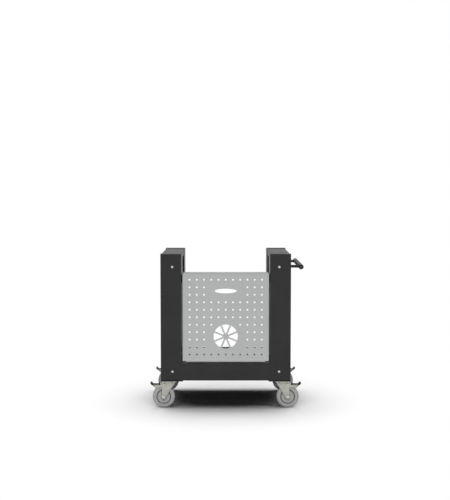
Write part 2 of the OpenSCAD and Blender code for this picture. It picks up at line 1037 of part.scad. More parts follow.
// Their nuts: the outer pair of each caster sits on the frame's lip
module caster_nuts() {
  color(bright)
    for (side = [-1, 1])
      for (end = [-1, 1])
        for (y = [-plate_bolt_y / 2, plate_bolt_y / 2])
          for (x = [-plate_bolt_x / 2, plate_bolt_x / 2])
            translate([side * caster_x + x, end * caster_y + y, base_z + (end * y > 0 ? frame_t : 0)])
              nut(nut_af, nut_h, bolt_d);
}

// Rivets on which the forks turn
module kingpins() {
  color(bright)
    for (side = [-1, 1])
      for (end = [-1, 1])
        at_caster(side, end)
          translate([0, 0, fork_top - fork_t]) {
            translate([0, 0, -kingpin_head_h - seat_gap])
              cylinder(h = kingpin_head_h, r = kingpin_head_r);
            translate([0, 0, -seat_gap - cut])
              cylinder(h = caster_h - fork_top + fork_t + seat_gap + cut, d = kingpin_d);
          }
}

module swivel_balls() {
  color(bright)
    for (side = [-1, 1])
      for (end = [-1, 1])
        at_caster(side, end)
          for (i = [0 : ball_count - 1])
            rotate(i * 360 / ball_count)
              translate([ball_ring_r, 0, ball_z])
                sphere(d = ball_d, $fn = 32);
}

// Fixed plate with the upper race round the kingpin
module caster_plate() {
  hub_l = ball_d - race_hub_gap;
  color(zinc)
    difference() {
      union() {
        translate([-plate_x / 2, -plate_y / 2, plate_z])
          cube([plate_x, plate_y, plate_t]);
        translate([0, 0, plate_z - race_h])
          difference() {
            cylinder(h = race_h, r = race_r);
            translate([0, 0, -cut])
              cylinder(h = race_h + cut, r = race_r - race_wall);
          }
        translate([0, 0, plate_z - hub_l])
          cylinder(h = hub_l, r = race_hub_r);
      }
      translate([0, 0, plate_z - race_h])
        cylinder(h = race_h + plate_t + cut, r = kingpin_d / 2 + run_gap);
      at_plate_bolts()
        translate([0, 0, plate_z - cut])
          cylinder(h = plate_t + 2 * cut, r = bolt_d / 2 + bolt_clear);
    }
}

// Point where a line from p touches the circle of radius r round c, on the side given by its sign
function touch_point(p, c, r, side) =
  let (d = norm(p - c), a = atan2(p.y - c.y, p.x - c.x) + side * acos(r / d))
    c + r * [cos(a), sin(a)];

// Side of the fork, drawn in the X-Z plane
module fork_side_outline() {
  axle = [trail, wheel_r];
  knee = [-knee_x, fork_top - knee_drop];
  polygon([[-crown_in, fork_top], [-crown_in, fork_top - crown_h], knee,
           touch_point(knee, axle, axle_eye_r, 1), axle, [leg_out, wheel_r], [leg_out, fork_top - leg_drop],
           [crown_out, fork_top - wing_h], [crown_out, fork_top]]);
  translate(axle)
    circle(r = axle_eye_r);
}

// Pressed rib on the outside of the fork's side
module fork_rib_outline() {
  translate([trail - crease_before_axle, wheel_r + axle_eye_r + fork_t])
    square([crease_before_axle + leg_past_axle - fork_t,
            fork_top - wheel_r - axle_eye_r - 2 * fork_t]);
}

// Extrudes an X-Z outline along Y from y
module stand_up(y, len) {
  translate([0, y + len, 0])
    rotate([90, 0, 0])
      linear_extrude(height = len)
        children();
}

// Fork: crown with the lower race, and two sides that hold the axle and the pedal's pin
module fork() {
  color(zinc)
    difference() {
      union() {
        translate([-crown_in, -fork_out, fork_top - fork_t])
          cube([crown_in + crown_out, 2 * fork_out, fork_t]);
        for (y = [-fork_out, fork_half])
          stand_up(y, fork_t)
            fork_side_outline();
        for (y = [-fork_out - leg_rib_t, fork_out])
          stand_up(y, leg_rib_t)
            fork_rib_outline();
        translate([0, 0, fork_top])
          difference() {
            cylinder(h = ring_top - fork_top, r = ring_r2);
            translate([0, 0, -cut])
              cylinder(h = ring_top - fork_top + 2 * cut, r = ring_r1);
          }
      }
      translate([0, 0, fork_top - fork_t - cut])
        cylinder(h = fork_t + 2 * cut, r = kingpin_d / 2 + run_gap);
      translate([trail, 0, wheel_r])
        rod_y(-fork_out - leg_rib_t - cut, 2 * (fork_out + leg_rib_t + cut), axle_d / 2 + run_gap);
      translate([pivot_x, 0, pivot_z])
        rod_y(-fork_out - leg_rib_t - cut, 2 * (fork_out + leg_rib_t + cut), pedal_pin_d / 2 + run_gap);
    }
}

// Axle bolt with its nut, and the pedal's pivot pin with its two heads
module axle() {
  pin_seat = fork_out + leg_rib_t;
  color(bright) {
    translate([trail, -fork_out, wheel_r])
      rotate([90, 0, 0])
        hex_prism(axle_head_af, axle_head_h);
    translate([trail, 0, wheel_r])
      rod_y(-fork_out, 2 * fork_out + axle_nut_h + axle_tail, axle_d / 2);
    translate([trail, fork_out + axle_nut_h, wheel_r])
      rotate([90, 0, 0])
        nut(axle_head_af, axle_nut_h, axle_d);
    translate([pivot_x, 0, pivot_z]) {
      rod_y(-pin_seat - pin_head_h, 2 * (pin_seat + pin_head_h), pedal_pin_d / 2);
      rod_y(-pin_seat - pin_head_h, pin_head_h, pin_head_r);
      rod_y(pin_seat, pin_head_h, pin_head_r);
    }
  }
}

// Revolves an outline given in radius and width about the wheel's axle
module on_axle() {
  translate([trail, 0, wheel_r])
    rotate([90, 0, 0])
      rotate_extrude()
        children();
}

// Groove that shows between the tyre and the hub
module rim_groove() {
  for (s = [-1, 1])
    translate([hub_r, s * tyre_w / 2])
      circle(r = groove_r, $fn = 32);
}

module tyre() {
  side = tyre_w / 2;
  color(rubber)
    on_axle()
      difference() {
        union() {
          translate([hub_r, -side])
            square([wheel_r - shoulder_r - hub_r, tyre_w]);
          translate([hub_r, -side + shoulder_r])
            square([wheel_r - hub_r, tyre_w - 2 * shoulder_r]);
          for (z = [-side + shoulder_r, side - shoulder_r])
            translate([wheel_r - shoulder_r, z])
              circle(r = shoulder_r);
        }
        rim_groove();
      }
}

// Hub with its rim, web and boss, and the two bearings in the boss
module hub() {
  bore_r = bearing_d / 2 + run_gap;
  color(rubber)
    on_axle()
      difference() {
        union() {
          translate([hub_r - hub_rim, -hub_rim_w / 2])
            square([hub_rim - run_gap, hub_rim_w]);
          translate([bore_r, -hub_web / 2])
            square([hub_r - hub_rim - bore_r, hub_web]);
          translate([bore_r, -boss_w / 2])
            square([boss_r - bore_r, boss_w]);
        }
        rim_groove();
      }
  color(bright)
    on_axle()
      for (w = [-boss_w / 2, boss_w / 2 - bearing_w])
        translate([axle_d / 2 + run_gap, w])
          square([bearing_d / 2 - axle_d / 2 - run_gap, bearing_w]);
}

// Cheek of the pedal, drawn in the X-Z plane
module cheek_outline() {
  translate([pivot_x, pivot_z])
    circle(r = pivot_eye_r);
  polygon([[pivot_x, pedal_top_z], [pivot_x + pivot_eye_r, pedal_top_z], [web_x, web_z],
           [pad_x + cheek_past_pad, web_z], [pad_x + cheek_tip_x, pad_z + cheek_tip_z],
           [pad_x, pad_z - pedal_t], [web_x, web_z - cheek_h], [pivot_x, pivot_z - pivot_eye_r]]);
}

// Steel tongue under the sleeve, from the cheeks up and outwards
module pedal_tongue() {
  translate([pad_x, 0, pad_z])
    rotate([0, -pad_tilt, 0])
      translate([0, -cheek_out, 0])
        cube([pad_l, 2 * cheek_out, pedal_t]);
}

// Web between the cheeks and the brake shoe under it, hollowed to meet the tyre when the pedal is down
module brake_shoe() {
  difference() {
    union() {
      translate([web_x + web_gap, -cheek_out, web_z - pedal_t])
        cube([pad_x - web_x, 2 * cheek_out, pedal_t]);
      translate([pivot_x + shoe_x1, -shoe_half, wheel_r])
        cube([shoe_x2 - shoe_x1, 2 * shoe_half, web_z - wheel_r - pedal_t / 2]);
    }
    translate([pivot_x, 0, pivot_z])
      rotate([0, -pedal_press, 0])
        translate([trail - pivot_x, 0, wheel_r - pivot_z])
          rod_y(-tyre_w, 2 * tyre_w, wheel_r + seat_gap);
  }
}

// Pedal: two cheeks on the pivot pin, a web, the brake shoe and the tongue
module pedal() {
  color(zinc)
    difference() {
      union() {
        for (y = [-cheek_out, cheek_in])
          stand_up(y, pedal_t)
            cheek_outline();
        brake_shoe();
        pedal_tongue();
      }
      translate([pivot_x, 0, pivot_z])
        rod_y(-cheek_out - cut, 2 * (cheek_out + cut), pedal_pin_d / 2 + run_gap);
    }
}

// Lever that runs from the sleeve back over the web to a block behind the fork
module pedal_lever() {
  strip_z = web_z + lever_rise;
  strip_end = pad_x + (strip_z + lever_t / 2 - pad_z) / tan(pad_tilt) - pedal_t / 2;
  translate([lever_x, -lever_half, web_z])
    cube([lever_block_l, 2 * lever_half, lever_block_h]);
  translate([lever_x + lever_t, -lever_half, strip_z])
    cube([strip_end - lever_x - lever_t, 2 * lever_half, lever_t]);
}

// Plastic sleeve over the end of the tongue, with its lever
module sleeve() {
  color(plastic)
    difference() {
      union() {
        translate([pad_x, 0, pad_z])
          rotate([0, -pad_tilt, 0])
            translate([pad_l + sleeve_over - sleeve_l, -cheek_out - sleeve_side, (pedal_t - sleeve_t) / 2])
              stand_up(0, 2 * (cheek_out + sleeve_side))
                round_rect(sleeve_l, sleeve_t, sleeve_round);
        pedal_lever();
      }
      pedal_tongue();
    }
}

front_frame();
rear_frame();
side_panel_left();
side_panel_right();
corner_plate_at(-1, -1);  // corner_plate_fl
corner_plate_at(1, -1);  // corner_plate_fr
corner_plate_at(-1, 1);  // corner_plate_rl
corner_plate_at(1, 1);  // corner_plate_rr
shelf();
shelf_rivets();
seat_rail_left();
seat_rail_right();
frame_bolts();
frame_nuts();
hinge_plates();
hinge_pins();
stop_pins();
door_catches();
catch_magnets();
handle_bar();
handle_caps();
handle_arms();
handle_screws();
door_panel();
hinge_bushes();
strike_plates();
caster_bolts();
caster_nuts();
kingpins();
swivel_balls();
at_caster(-1, -1) caster_plate();  // caster_plate_fl
at_caster(-1, -1) fork();  // fork_fl
at_caster(-1, -1) axle();  // axle_fl
at_caster(-1, -1) hub();  // hub_fl
at_caster(-1, -1) tyre();  // tyre_fl
at_caster(-1, -1) pedal();  // pedal_fl
at_caster(-1, -1) sleeve();  // sleeve_fl
at_caster(1, -1) caster_plate();  // caster_plate_fr
at_caster(1, -1) fork();  // fork_fr
at_caster(1, -1) axle();  // axle_fr
at_caster(1, -1) hub();  // hub_fr
at_caster(1, -1) tyre();  // tyre_fr
at_caster(1, -1) pedal();  // pedal_fr
at_caster(1, -1) sleeve();  // sleeve_fr
at_caster(-1, 1) caster_plate();  // caster_plate_rl
at_caster(-1, 1) fork();  // fork_rl
at_caster(-1, 1) axle();  // axle_rl
at_caster(-1, 1) hub();  // hub_rl
at_caster(-1, 1) tyre();  // tyre_rl
at_caster(-1, 1) pedal();  // pedal_rl
at_caster(-1, 1) sleeve();  // sleeve_rl
at_caster(1, 1) caster_plate();  // caster_plate_rr
at_caster(1, 1) fork();  // fork_rr
at_caster(1, 1) axle();  // axle_rr
at_caster(1, 1) hub();  // hub_rr
at_caster(1, 1) tyre();  // tyre_rr
at_caster(1, 1) pedal();  // pedal_rr
at_caster(1, 1) sleeve();  // sleeve_rr
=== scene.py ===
"""Looks of a rolling outdoor table of folded sheet steel.

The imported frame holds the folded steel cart, its perforated door, the push handle and four braked
casters at their real size. This script gives each of them its finish, puts rounded and moulded
surfaces in the place of the plain forms, and lights the whole on a pale floor. Lengths are in metres
and the axes are the frame's own: +X to the handle side, +Y to the back, +Z up.
"""

import json
import logging
import math
from dataclasses import dataclass
from enum import Enum

import bmesh
import bpy
import numpy as np
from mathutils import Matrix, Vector

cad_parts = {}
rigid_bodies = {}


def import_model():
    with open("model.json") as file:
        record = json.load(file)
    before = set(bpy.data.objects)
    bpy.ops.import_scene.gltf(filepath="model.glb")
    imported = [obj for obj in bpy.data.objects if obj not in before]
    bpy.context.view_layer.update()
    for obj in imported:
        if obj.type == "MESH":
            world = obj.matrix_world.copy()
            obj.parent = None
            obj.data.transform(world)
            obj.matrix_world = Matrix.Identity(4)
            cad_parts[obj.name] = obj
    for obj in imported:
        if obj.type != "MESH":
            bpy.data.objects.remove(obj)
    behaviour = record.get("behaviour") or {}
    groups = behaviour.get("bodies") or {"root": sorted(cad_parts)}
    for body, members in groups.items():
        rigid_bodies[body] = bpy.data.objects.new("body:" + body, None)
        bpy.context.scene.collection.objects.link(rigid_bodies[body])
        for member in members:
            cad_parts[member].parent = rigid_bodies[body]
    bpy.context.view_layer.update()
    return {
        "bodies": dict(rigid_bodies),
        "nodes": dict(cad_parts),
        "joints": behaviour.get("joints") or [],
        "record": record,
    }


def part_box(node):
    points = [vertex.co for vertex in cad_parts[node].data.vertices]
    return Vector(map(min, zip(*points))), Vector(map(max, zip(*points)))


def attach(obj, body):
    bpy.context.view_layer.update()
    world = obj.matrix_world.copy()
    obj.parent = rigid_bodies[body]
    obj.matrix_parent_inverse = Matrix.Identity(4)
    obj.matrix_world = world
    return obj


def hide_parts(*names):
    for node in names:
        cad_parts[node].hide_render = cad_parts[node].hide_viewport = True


MM = 0.001
MERGE_DISTANCE = 0.001 * MM
SHARP_ANGLE = math.radians(40)
FLAT_ANGLE = math.radians(1)
NOISE_SPAN = (0.35, 0.70)
PATCH_SPAN = (0.4, 0.6)
STREAK_SPAN = (0.3, 0.7)
SUM_SPAN = (0.7, 1.3)
EDGE_SPAN = (0.995, 0.80)
WHITE = (1.0, 1.0, 1.0, 1.0)
log = logging.getLogger("cart")


class Slot(Enum):
    """Material slots that the frame's record names."""

    PAINT = "frame_paint"
    DOOR = "door_steel"
    ZINC = "zinc_steel"
    BRIGHT = "fastener_steel"
    MAGNET = "magnet"
    TYRE = "tyre_rubber"
    HUB = "wheel_plastic"
    BLACK = "black_plastic"
    BUSH = "bush_plastic"


class Corner(Enum):
    """Corners of the cart, by the ending of their nodes' names."""

    FRONT_LEFT = "fl"
    FRONT_RIGHT = "fr"
    REAR_LEFT = "rl"
    REAR_RIGHT = "rr"

    @property
    def side(self) -> int:
        """Sign of X at this corner."""
        return 1 if self.value[1] == "r" else -1

    @property
    def end(self) -> int:
        """Sign of Y at this corner."""
        return 1 if self.value[0] == "r" else -1


def linear(shade: str) -> tuple[float, float, float, float]:
    """Turns a written colour into the values that a shader takes.

    Args:
        shade: sRGB colour as #rrggbb.

    Returns:
        Linear red, green, blue and an alpha of 1.
    """
    srgb = np.array([int(shade[i:i + 2], 16) for i in (1, 3, 5)]) / 255
    low = srgb / 12.92
    high = ((srgb + 0.055) / 1.055) ** 2.4
    return (*np.where(srgb <= 0.04045, low, high).tolist(), 1.0)


class Shader:
    """Node tree of one material, with short calls for the nodes that the finishes share."""

    def __init__(self, name: str) -> None:
        """Starts a material whose output is one Principled shader.

        Args:
            name: name of the material.
        """
        self.material = bpy.data.materials.new(name)
        self.material.use_nodes = True
        self.nodes = self.material.node_tree.nodes
        self.links = self.material.node_tree.links
        self.surface = self.nodes["Principled BSDF"]
        self.output = self.nodes["Material Output"]
        self.place = self.add("ShaderNodeTexCoord").outputs["Object"]

    def add(self, kind: str, **settings: object) -> bpy.types.Node:
        """Adds a node.

        Args:
            kind: Blender's name of the node type.
            settings: properties of the node and their values.

        Returns:
            The new node.
        """
        node = self.nodes.new(kind)
        for key, value in settings.items():
            setattr(node, key, value)
        return node

    def join(self, source: bpy.types.NodeSocket, node: bpy.types.Node, socket: str | int) -> None:
        """Links an output to the named input of a node."""
        self.links.new(source, node.inputs[socket])

    def noise(self, scale: tuple[float, float, float], detail: float) -> bpy.types.NodeSocket:
        """Makes soft noise on the piece's own coordinates.

        Args:
            scale: features per metre along X, Y and Z.
            detail: octaves of the noise.

        Returns:
            Socket with a value from 0 to 1.
        """
        stretch = self.add("ShaderNodeMapping")
        stretch.inputs["Scale"].default_value = scale
        self.join(self.place, stretch, "Vector")
        node = self.add("ShaderNodeTexNoise")
        node.inputs["Scale"].default_value = 1.0
        node.inputs["Detail"].default_value = detail
        self.join(stretch.outputs["Vector"], node, "Vector")
        return node.outputs["Fac"]

    def remap(self, value: bpy.types.NodeSocket, source: tuple[float, float],
              target: tuple[float, float]) -> bpy.types.NodeSocket:
        """Stretches a value from one range to another and holds it there.

        Args:
            value: socket to read.
            source: the range that is read.
            target: the range that comes out.

        Returns:
            Socket with the new value.
        """
        node = self.add("ShaderNodeMapRange")
        for socket, number in zip(("From Min", "From Max", "To Min", "To Max"), (*source, *target)):
            node.inputs[socket].default_value = number
        self.join(value, node, "Value")
        return node.outputs["Result"]

    def maths(self, operation: str, first: bpy.types.NodeSocket,
              second: bpy.types.NodeSocket | float) -> bpy.types.NodeSocket:
        """Joins two values by a sum, a product or the like.

        Args:
            operation: Blender's name of the operation.
            first: first value.
            second: second value, a socket or a number.

        Returns:
            Socket with the result.
        """
        node = self.add("ShaderNodeMath", operation=operation)
        self.join(first, node, 0)
        if isinstance(second, bpy.types.NodeSocket):
            self.join(second, node, 1)
        else:
            node.inputs[1].default_value = second
        return node.outputs["Value"]

    def blend(self, share: bpy.types.NodeSocket, base: bpy.types.NodeSocket | str,
              over: str) -> bpy.types.NodeSocket:
        """Lays one colour over another.

        Args:
            share: how much of the upper colour shows, from 0 to 1.
            base: lower colour, a socket or a written colour.
            over: upper colour as #rrggbb.

        Returns:
            Socket with the mixed colour.
        """
        node = self.add("ShaderNodeMix", data_type="RGBA")
        self.join(share, node, "Factor")
        if isinstance(base, str):
            node.inputs[6].default_value = linear(base)
        else:
            self.links.new(base, node.inputs[6])
        node.inputs[7].default_value = linear(over)
        return node.outputs[2]

    def bump(self, height: bpy.types.NodeSocket, depth: float,
             under: bpy.types.NodeSocket | None) -> bpy.types.NodeSocket:
        """Raises a height pattern on the surface.

        Args:
            height: pattern from 0 to 1.
            depth: height of the pattern in metres.
            under: normal that the pattern lies on, or None for the surface's own.

        Returns:
            Socket with the new normal.
        """
        node = self.add("ShaderNodeBump")
        node.inputs["Strength"].default_value = 1.0
        node.inputs["Distance"].default_value = depth
        self.join(height, node, "Height")
        if under is not None:
            self.join(under, node, "Normal")
        return node.outputs["Normal"]

    def worn_edges(self, radius: float) -> tuple[bpy.types.NodeSocket, bpy.types.NodeSocket]:
        """Finds the piece's edges from how far a rounded normal leans away from the flat one.

        Args:
            radius: radius of the rounding.

        Returns:
            The rounded normal, and a mask that is 1 on the edges and 0 elsewhere.
        """
        rounded = self.add("ShaderNodeBevel", samples=4)
        rounded.inputs["Radius"].default_value = radius
        flat = self.add("ShaderNodeNewGeometry").outputs["Normal"]
        dot = self.add("ShaderNodeVectorMath", operation="DOT_PRODUCT")
        self.join(rounded.outputs["Normal"], dot, 0)
        self.join(flat, dot, 1)
        mask = self.remap(dot.outputs["Value"], EDGE_SPAN, (0.0, 1.0))
        return rounded.outputs["Normal"], mask


@dataclass(frozen=True)
class Grain:
    """Noise that gives a finish its texture.

    Attributes:
        scale: features per metre along X, Y and Z.
        detail: octaves of the noise.
        share: most of the second colour that it lays on.
        depth: height of the bump in metres.
    """

    scale: tuple[float, float, float]
    detail: float
    share: float
    depth: float


@dataclass(frozen=True)
class Finish:
    """One surface finish, from the bare colour to the wear on its edges.

    Attributes:
        slot: material slot of the record that it stands for.
        shade: main colour.
        light: colour of high spots and worn edges.
        dark: colour of the broad clouds.
        metallic: how far the surface is bare metal.
        roughness: least and most roughness.
        cloud: broad drift of colour and gloss.
        grain: fine texture.
        edge_radius: rounding that the light sees on sharp edges.
        edge_wear: most of the light colour on the edges.
        sheen: strength of the clear reflection on a painted or moulded surface.
    """

    slot: Slot
    shade: str
    light: str
    dark: str
    metallic: float
    roughness: tuple[float, float]
    cloud: Grain
    grain: Grain
    edge_radius: float = 0.6 * MM
    edge_wear: float = 0.3
    sheen: float = 0.5

    def material(self) -> bpy.types.Material:
        """Builds the finish's material.

        Returns:
            Material whose colour, roughness and normal come from the finish's noises.
        """
        shader = Shader(self.slot.value + "_finish")
        cloud = shader.noise(self.cloud.scale, self.cloud.detail)
        grain = shader.noise(self.grain.scale, self.grain.detail)
        cloud_share = shader.remap(cloud, NOISE_SPAN, (0.0, self.cloud.share))
        grain_share = shader.remap(grain, NOISE_SPAN, (0.0, self.grain.share))
        colour = shader.blend(cloud_share, self.shade, self.dark)
        colour = shader.blend(grain_share, colour, self.light)
        normal, edge = shader.worn_edges(self.edge_radius)
        patches = shader.remap(cloud, PATCH_SPAN, (0.0, self.edge_wear))
        chipped = shader.maths("MULTIPLY", edge, patches)
        colour = shader.blend(chipped, colour, self.light)
        colour = self.overlay(shader, colour)
        mixed = shader.maths("ADD", cloud, grain)
        gloss = shader.remap(mixed, SUM_SPAN, self.roughness)
        normal = shader.bump(cloud, self.cloud.depth, normal)
        normal = shader.bump(grain, self.grain.depth, normal)
        surface = shader.surface
        surface.inputs["Metallic"].default_value = self.metallic
        surface.inputs["Specular IOR Level"].default_value = self.sheen
        shader.join(colour, surface, "Base Color")
        shader.join(gloss, surface, "Roughness")
        shader.join(normal, surface, "Normal")
        return shader.material

    def overlay(self, shader: Shader, colour: bpy.types.NodeSocket) -> bpy.types.NodeSocket:
        """Lays anything special over the colour; a plain finish has nothing.

        Args:
            shader: node tree that the finish is built in.
            colour: colour so far.

        Returns:
            The colour with the overlay.
        """
        return colour


@dataclass(frozen=True)
class ScuffedGrooveShadeFinish(Finish):
    """Finish of a wheel, whose rolling band picks up dirt and whose groove between tyre and hub gets a
    painted shade.

    Attributes:
        scuff: colour of the dirt.
        scuff_share: least and most of that colour on the band.
        streaks: features of the dirt per metre along X, Y and Z.
        groove_shade: colour of the shade painted at the bottom of the groove between tyre and hub.
    """

    scuff: str = "#6f6d69"
    scuff_share: tuple[float, float] = (0.2, 0.5)
    streaks: tuple[float, float, float] = (180.0, 900.0, 180.0)
    groove_shade: str = "#3c3c3c"

    def overlay(self, shader: Shader, colour: bpy.types.NodeSocket) -> bpy.types.NodeSocket:
        """Darkens the places that the piece's tread and groove_shade attributes mark.

        Args:
            shader: node tree that the finish is built in.
            colour: colour so far.

        Returns:
            The colour with dirt in streaks round the tread and painted shade in the groove between tyre and
            hub.
        """
        band = shader.add("ShaderNodeAttribute", attribute_name="tread").outputs["Fac"]
        streaks = shader.remap(shader.noise(self.streaks, 5.0), STREAK_SPAN, self.scuff_share)
        colour = shader.blend(shader.maths("MULTIPLY", band, streaks), colour, self.scuff)
        # painted shade: the groove between tyre and hub is darkened in the colour, where shade would fall
        ring = shader.add("ShaderNodeAttribute", attribute_name="groove_shade").outputs["Fac"]
        return shader.blend(ring, colour, self.groove_shade)


def even(count: float) -> tuple[float, float, float]:
    """Returns the same number of features along all three axes."""
    return count, count, count


FINISHES = (
    Finish(Slot.PAINT, "#272728", "#434344", "#222223", 0.0, (0.36, 0.50),
           Grain(even(9.0), 3.0, 0.6, 0.05 * MM), Grain(even(900.0), 2.0, 0.18, 0.05 * MM),
           edge_wear=0.35, sheen=0.25),
    Finish(Slot.DOOR, "#bbbcbc", "#cbcccc", "#b3b4b4", 0.9, (0.36, 0.48),
           Grain((3.0, 3.0, 2.0), 2.0, 0.4, 0.02 * MM), Grain(even(160.0), 4.0, 0.35, 0.012 * MM),
           edge_radius=0.3 * MM),
    Finish(Slot.ZINC, "#b9b9b0", "#d3d3ca", "#a3a399", 0.75, (0.32, 0.50),
           Grain(even(60.0), 4.0, 0.6, 0.03 * MM), Grain(even(700.0), 3.0, 0.4, 0.02 * MM),
           edge_radius=0.8 * MM),
    Finish(Slot.BRIGHT, "#d6d7d8", "#f0f0f0", "#b4b6b8", 0.9, (0.20, 0.36),
           Grain(even(120.0), 3.0, 0.5, 0.01 * MM),
           Grain(even(1500.0), 2.0, 0.4, 0.008 * MM),
           edge_radius=0.4 * MM),
    Finish(Slot.MAGNET, "#77787a", "#a9aaab", "#5d5e60", 0.8, (0.25, 0.40),
           Grain(even(200.0), 3.0, 0.5, 0.01 * MM),
           Grain(even(1500.0), 2.0, 0.4, 0.01 * MM),
           edge_radius=0.4 * MM),
    ScuffedGrooveShadeFinish(Slot.TYRE, "#a8a8a7", "#b6b6b5", "#9d9d9c", 0.0, (0.55, 0.75),
                  Grain(even(40.0), 4.0, 0.6, 0.08 * MM),
                  Grain(even(1100.0), 3.0, 0.3, 0.05 * MM),
                  edge_wear=0.1),
    ScuffedGrooveShadeFinish(Slot.HUB, "#aaaaa9", "#bababa", "#9e9e9d", 0.0, (0.40, 0.55),
                  Grain(even(50.0), 3.0, 0.5, 0.03 * MM),
                  Grain(even(1600.0), 2.0, 0.25, 0.02 * MM),
                  edge_wear=0.2),
    Finish(Slot.BLACK, "#161617", "#333334", "#101011", 0.0, (0.45, 0.62),
           Grain(even(80.0), 3.0, 0.5, 0.03 * MM),
           Grain(even(1300.0), 2.0, 0.3, 0.04 * MM),
           edge_wear=0.3),
    Finish(Slot.BUSH, "#dcdbd6", "#efeeea", "#cfcdc6", 0.0, (0.35, 0.50),
           Grain(even(120.0), 3.0, 0.4, 0.01 * MM),
           Grain(even(1500.0), 2.0, 0.2, 0.01 * MM),
           edge_wear=0.1),
)


class Axis(Enum):
    """Directions that a turned shape can lie along, as the order of its own coordinates."""

    X = (2, 0, 1)
    Y = (1, 2, 0)
    Z = (0, 1, 2)


def grid_mesh(name: str, grids: np.ndarray, wrap: tuple[bool, bool]) -> bpy.types.Mesh:
    """Joins grids of points into one mesh of quads, merges their poles and turns its faces outwards.

    Args:
        name: name of the mesh.
        grids: points as (copies, rows, columns, 3).
        wrap: whether the last row meets the first, and the last column the first.

    Returns:
        The mesh, smooth but for its sharp edges.
    """
    copies, rows, columns, _ = grids.shape
    row = np.arange(rows if wrap[0] else rows - 1)[:, None]
    column = np.arange(columns if wrap[1] else columns - 1)[None, :]
    next_row = (row + 1) % rows
    next_column = (column + 1) % columns
    quads = np.stack([row * columns + column, next_row * columns + column,
                      next_row * columns + next_column, row * columns + next_column], axis=-1)
    faces = quads.reshape(1, -1, 4) + np.arange(copies)[:, None, None] * rows * columns
    mesh = bpy.data.meshes.new(name)
    mesh.from_pydata(grids.reshape(-1, 3).tolist(), [], faces.reshape(-1, 4).tolist())
    joined = bmesh.new()
    joined.from_mesh(mesh)
    bmesh.ops.remove_doubles(joined, verts=joined.verts, dist=MERGE_DISTANCE)
    bmesh.ops.recalc_face_normals(joined, faces=joined.faces)
    joined.to_mesh(mesh)
    joined.free()
    mesh.shade_smooth()
    mesh.set_sharp_from_angle(angle=SHARP_ANGLE)
    return mesh


def turned(radii: np.ndarray, heights: np.ndarray, steps: int, across: float | None = None) -> np.ndarray:
    """Turns a profile round the Z axis.

    Each point of the profile keeps its height and runs round the axis at its radius. With a width
    across flats the radius is held inside that hexagon: half the width over the cosine of the angle
    from the middle of the nearest flat.

    Args:
        radii: radius of each point of the profile.
        heights: height of each point.
        steps: points in one turn.
        across: width across flats of a hexagon, or None for a round shape.

    Returns:
        Points as (steps, points of the profile, 3).
    """
    angle = np.arange(steps) / steps * 2 * np.pi
    radius = np.tile(radii, (steps, 1))
    if across is not None:
        flat = across / 2 / np.cos(angle % (np.pi / 3) - np.pi / 6)
        radius = np.minimum(radius, flat[:, None])
    height = np.tile(heights, (steps, 1))
    return np.stack([radius * np.cos(angle)[:, None], radius * np.sin(angle)[:, None], height], axis=-1)


def threaded(radius: float, length: float, pitch: float, depth: float) -> np.ndarray:
    """Makes a threaded stud with a chamfered end, standing on z = 0.

    The radius falls from the crest by the depth times a triangle wave of the angle in turns plus the
    height in pitches, and by a slope of one over the last pitch.

    Args:
        radius: radius of the crests.
        length: length of the stud.
        pitch: rise of the thread in a turn.
        depth: depth of the thread.

    Returns:
        Points as (steps, levels, 3), closed at the top by a pole.
    """
    steps = 32
    levels_per_pitch = 8
    levels = np.linspace(0, length, int(length / pitch * levels_per_pitch) + 1)
    turn = np.arange(steps)[:, None] / steps
    wave = np.abs((turn + levels[None, :] / pitch) % 1 * 2 - 1)
    chamfer = np.clip(levels - (length - pitch), 0, None)
    rings = radius - depth * wave - chamfer[None, :]
    rings = np.concatenate([rings, np.zeros((steps, 1))], axis=1)
    heights = np.tile(np.append(levels, length), (steps, 1))
    return np.stack([rings * np.cos(2 * np.pi * turn), rings * np.sin(2 * np.pi * turn), heights], axis=-1)


def hexagon(across: float, length: float) -> np.ndarray:
    """Turns a hexagon head with a chamfer at both ends, standing on z = 0.

    A cone of 30 degrees cuts both ends: the height falls by the tangent of 30 degrees times what the
    radius has gained on the cone's start.

    Args:
        across: width across the flats.
        length: height of the head.

    Returns:
        Points of the head.
    """
    cone_start = across * 0.475
    cone = np.linspace(cone_start, across / math.sqrt(3), 8)
    drop = (cone - cone[0]) * math.tan(math.radians(30))
    radii = np.concatenate([[0], cone, cone[::-1], [0]])
    heights = np.concatenate([[0], drop, length - drop[::-1], [length]])
    return turned(radii, heights, 72, across)


def laid(points: np.ndarray, axis: Axis, origin: np.ndarray, sign: int = 1) -> np.ndarray:
    """Lays a shape made on the Z axis along another axis and moves it into place.

    Args:
        points: points whose last dimension holds X, Y and Z.
        axis: axis that the shape's own Z turns to.
        origin: place of the shape's own origin.
        sign: -1 turns the shape half round, so that it points the other way.

    Returns:
        The moved points.
    """
    turned_round = points * np.array([1, sign, sign])
    return turned_round[..., list(axis.value)] + origin


def bead(path: np.ndarray, across: np.ndarray, radius: float, pitch: float) -> np.ndarray:
    """Carries a round section along a path, as a weld bead.

    The radius swells by a sixth with each ripple and shrinks to nothing over both ends as the root of
    one minus the tenth power of the distance from the middle.

    Args:
        path: points of the path, evenly spaced.
        across: direction across the path at each point, at a right angle to it.
        radius: radius of the bead.
        pitch: distance between two ripples.

    Returns:
        Points as (12, points of the path, 3).
    """
    step = np.linalg.norm(np.diff(path, axis=0), axis=1)
    run = np.concatenate([[0], np.cumsum(step)])
    along = np.gradient(path, axis=0)
    along /= np.linalg.norm(along, axis=1)[:, None]
    up = np.cross(along, across)
    swell = radius * (1 + np.abs(np.sin(np.pi * run / pitch)) / 6)
    swell *= np.sqrt(1 - (2 * run / run[-1] - 1) ** 10)
    sides = 12
    angle = (np.arange(sides) / sides * 2 * np.pi)[:, None, None]
    return path + swell[:, None] * (np.cos(angle) * across + np.sin(angle) * up)


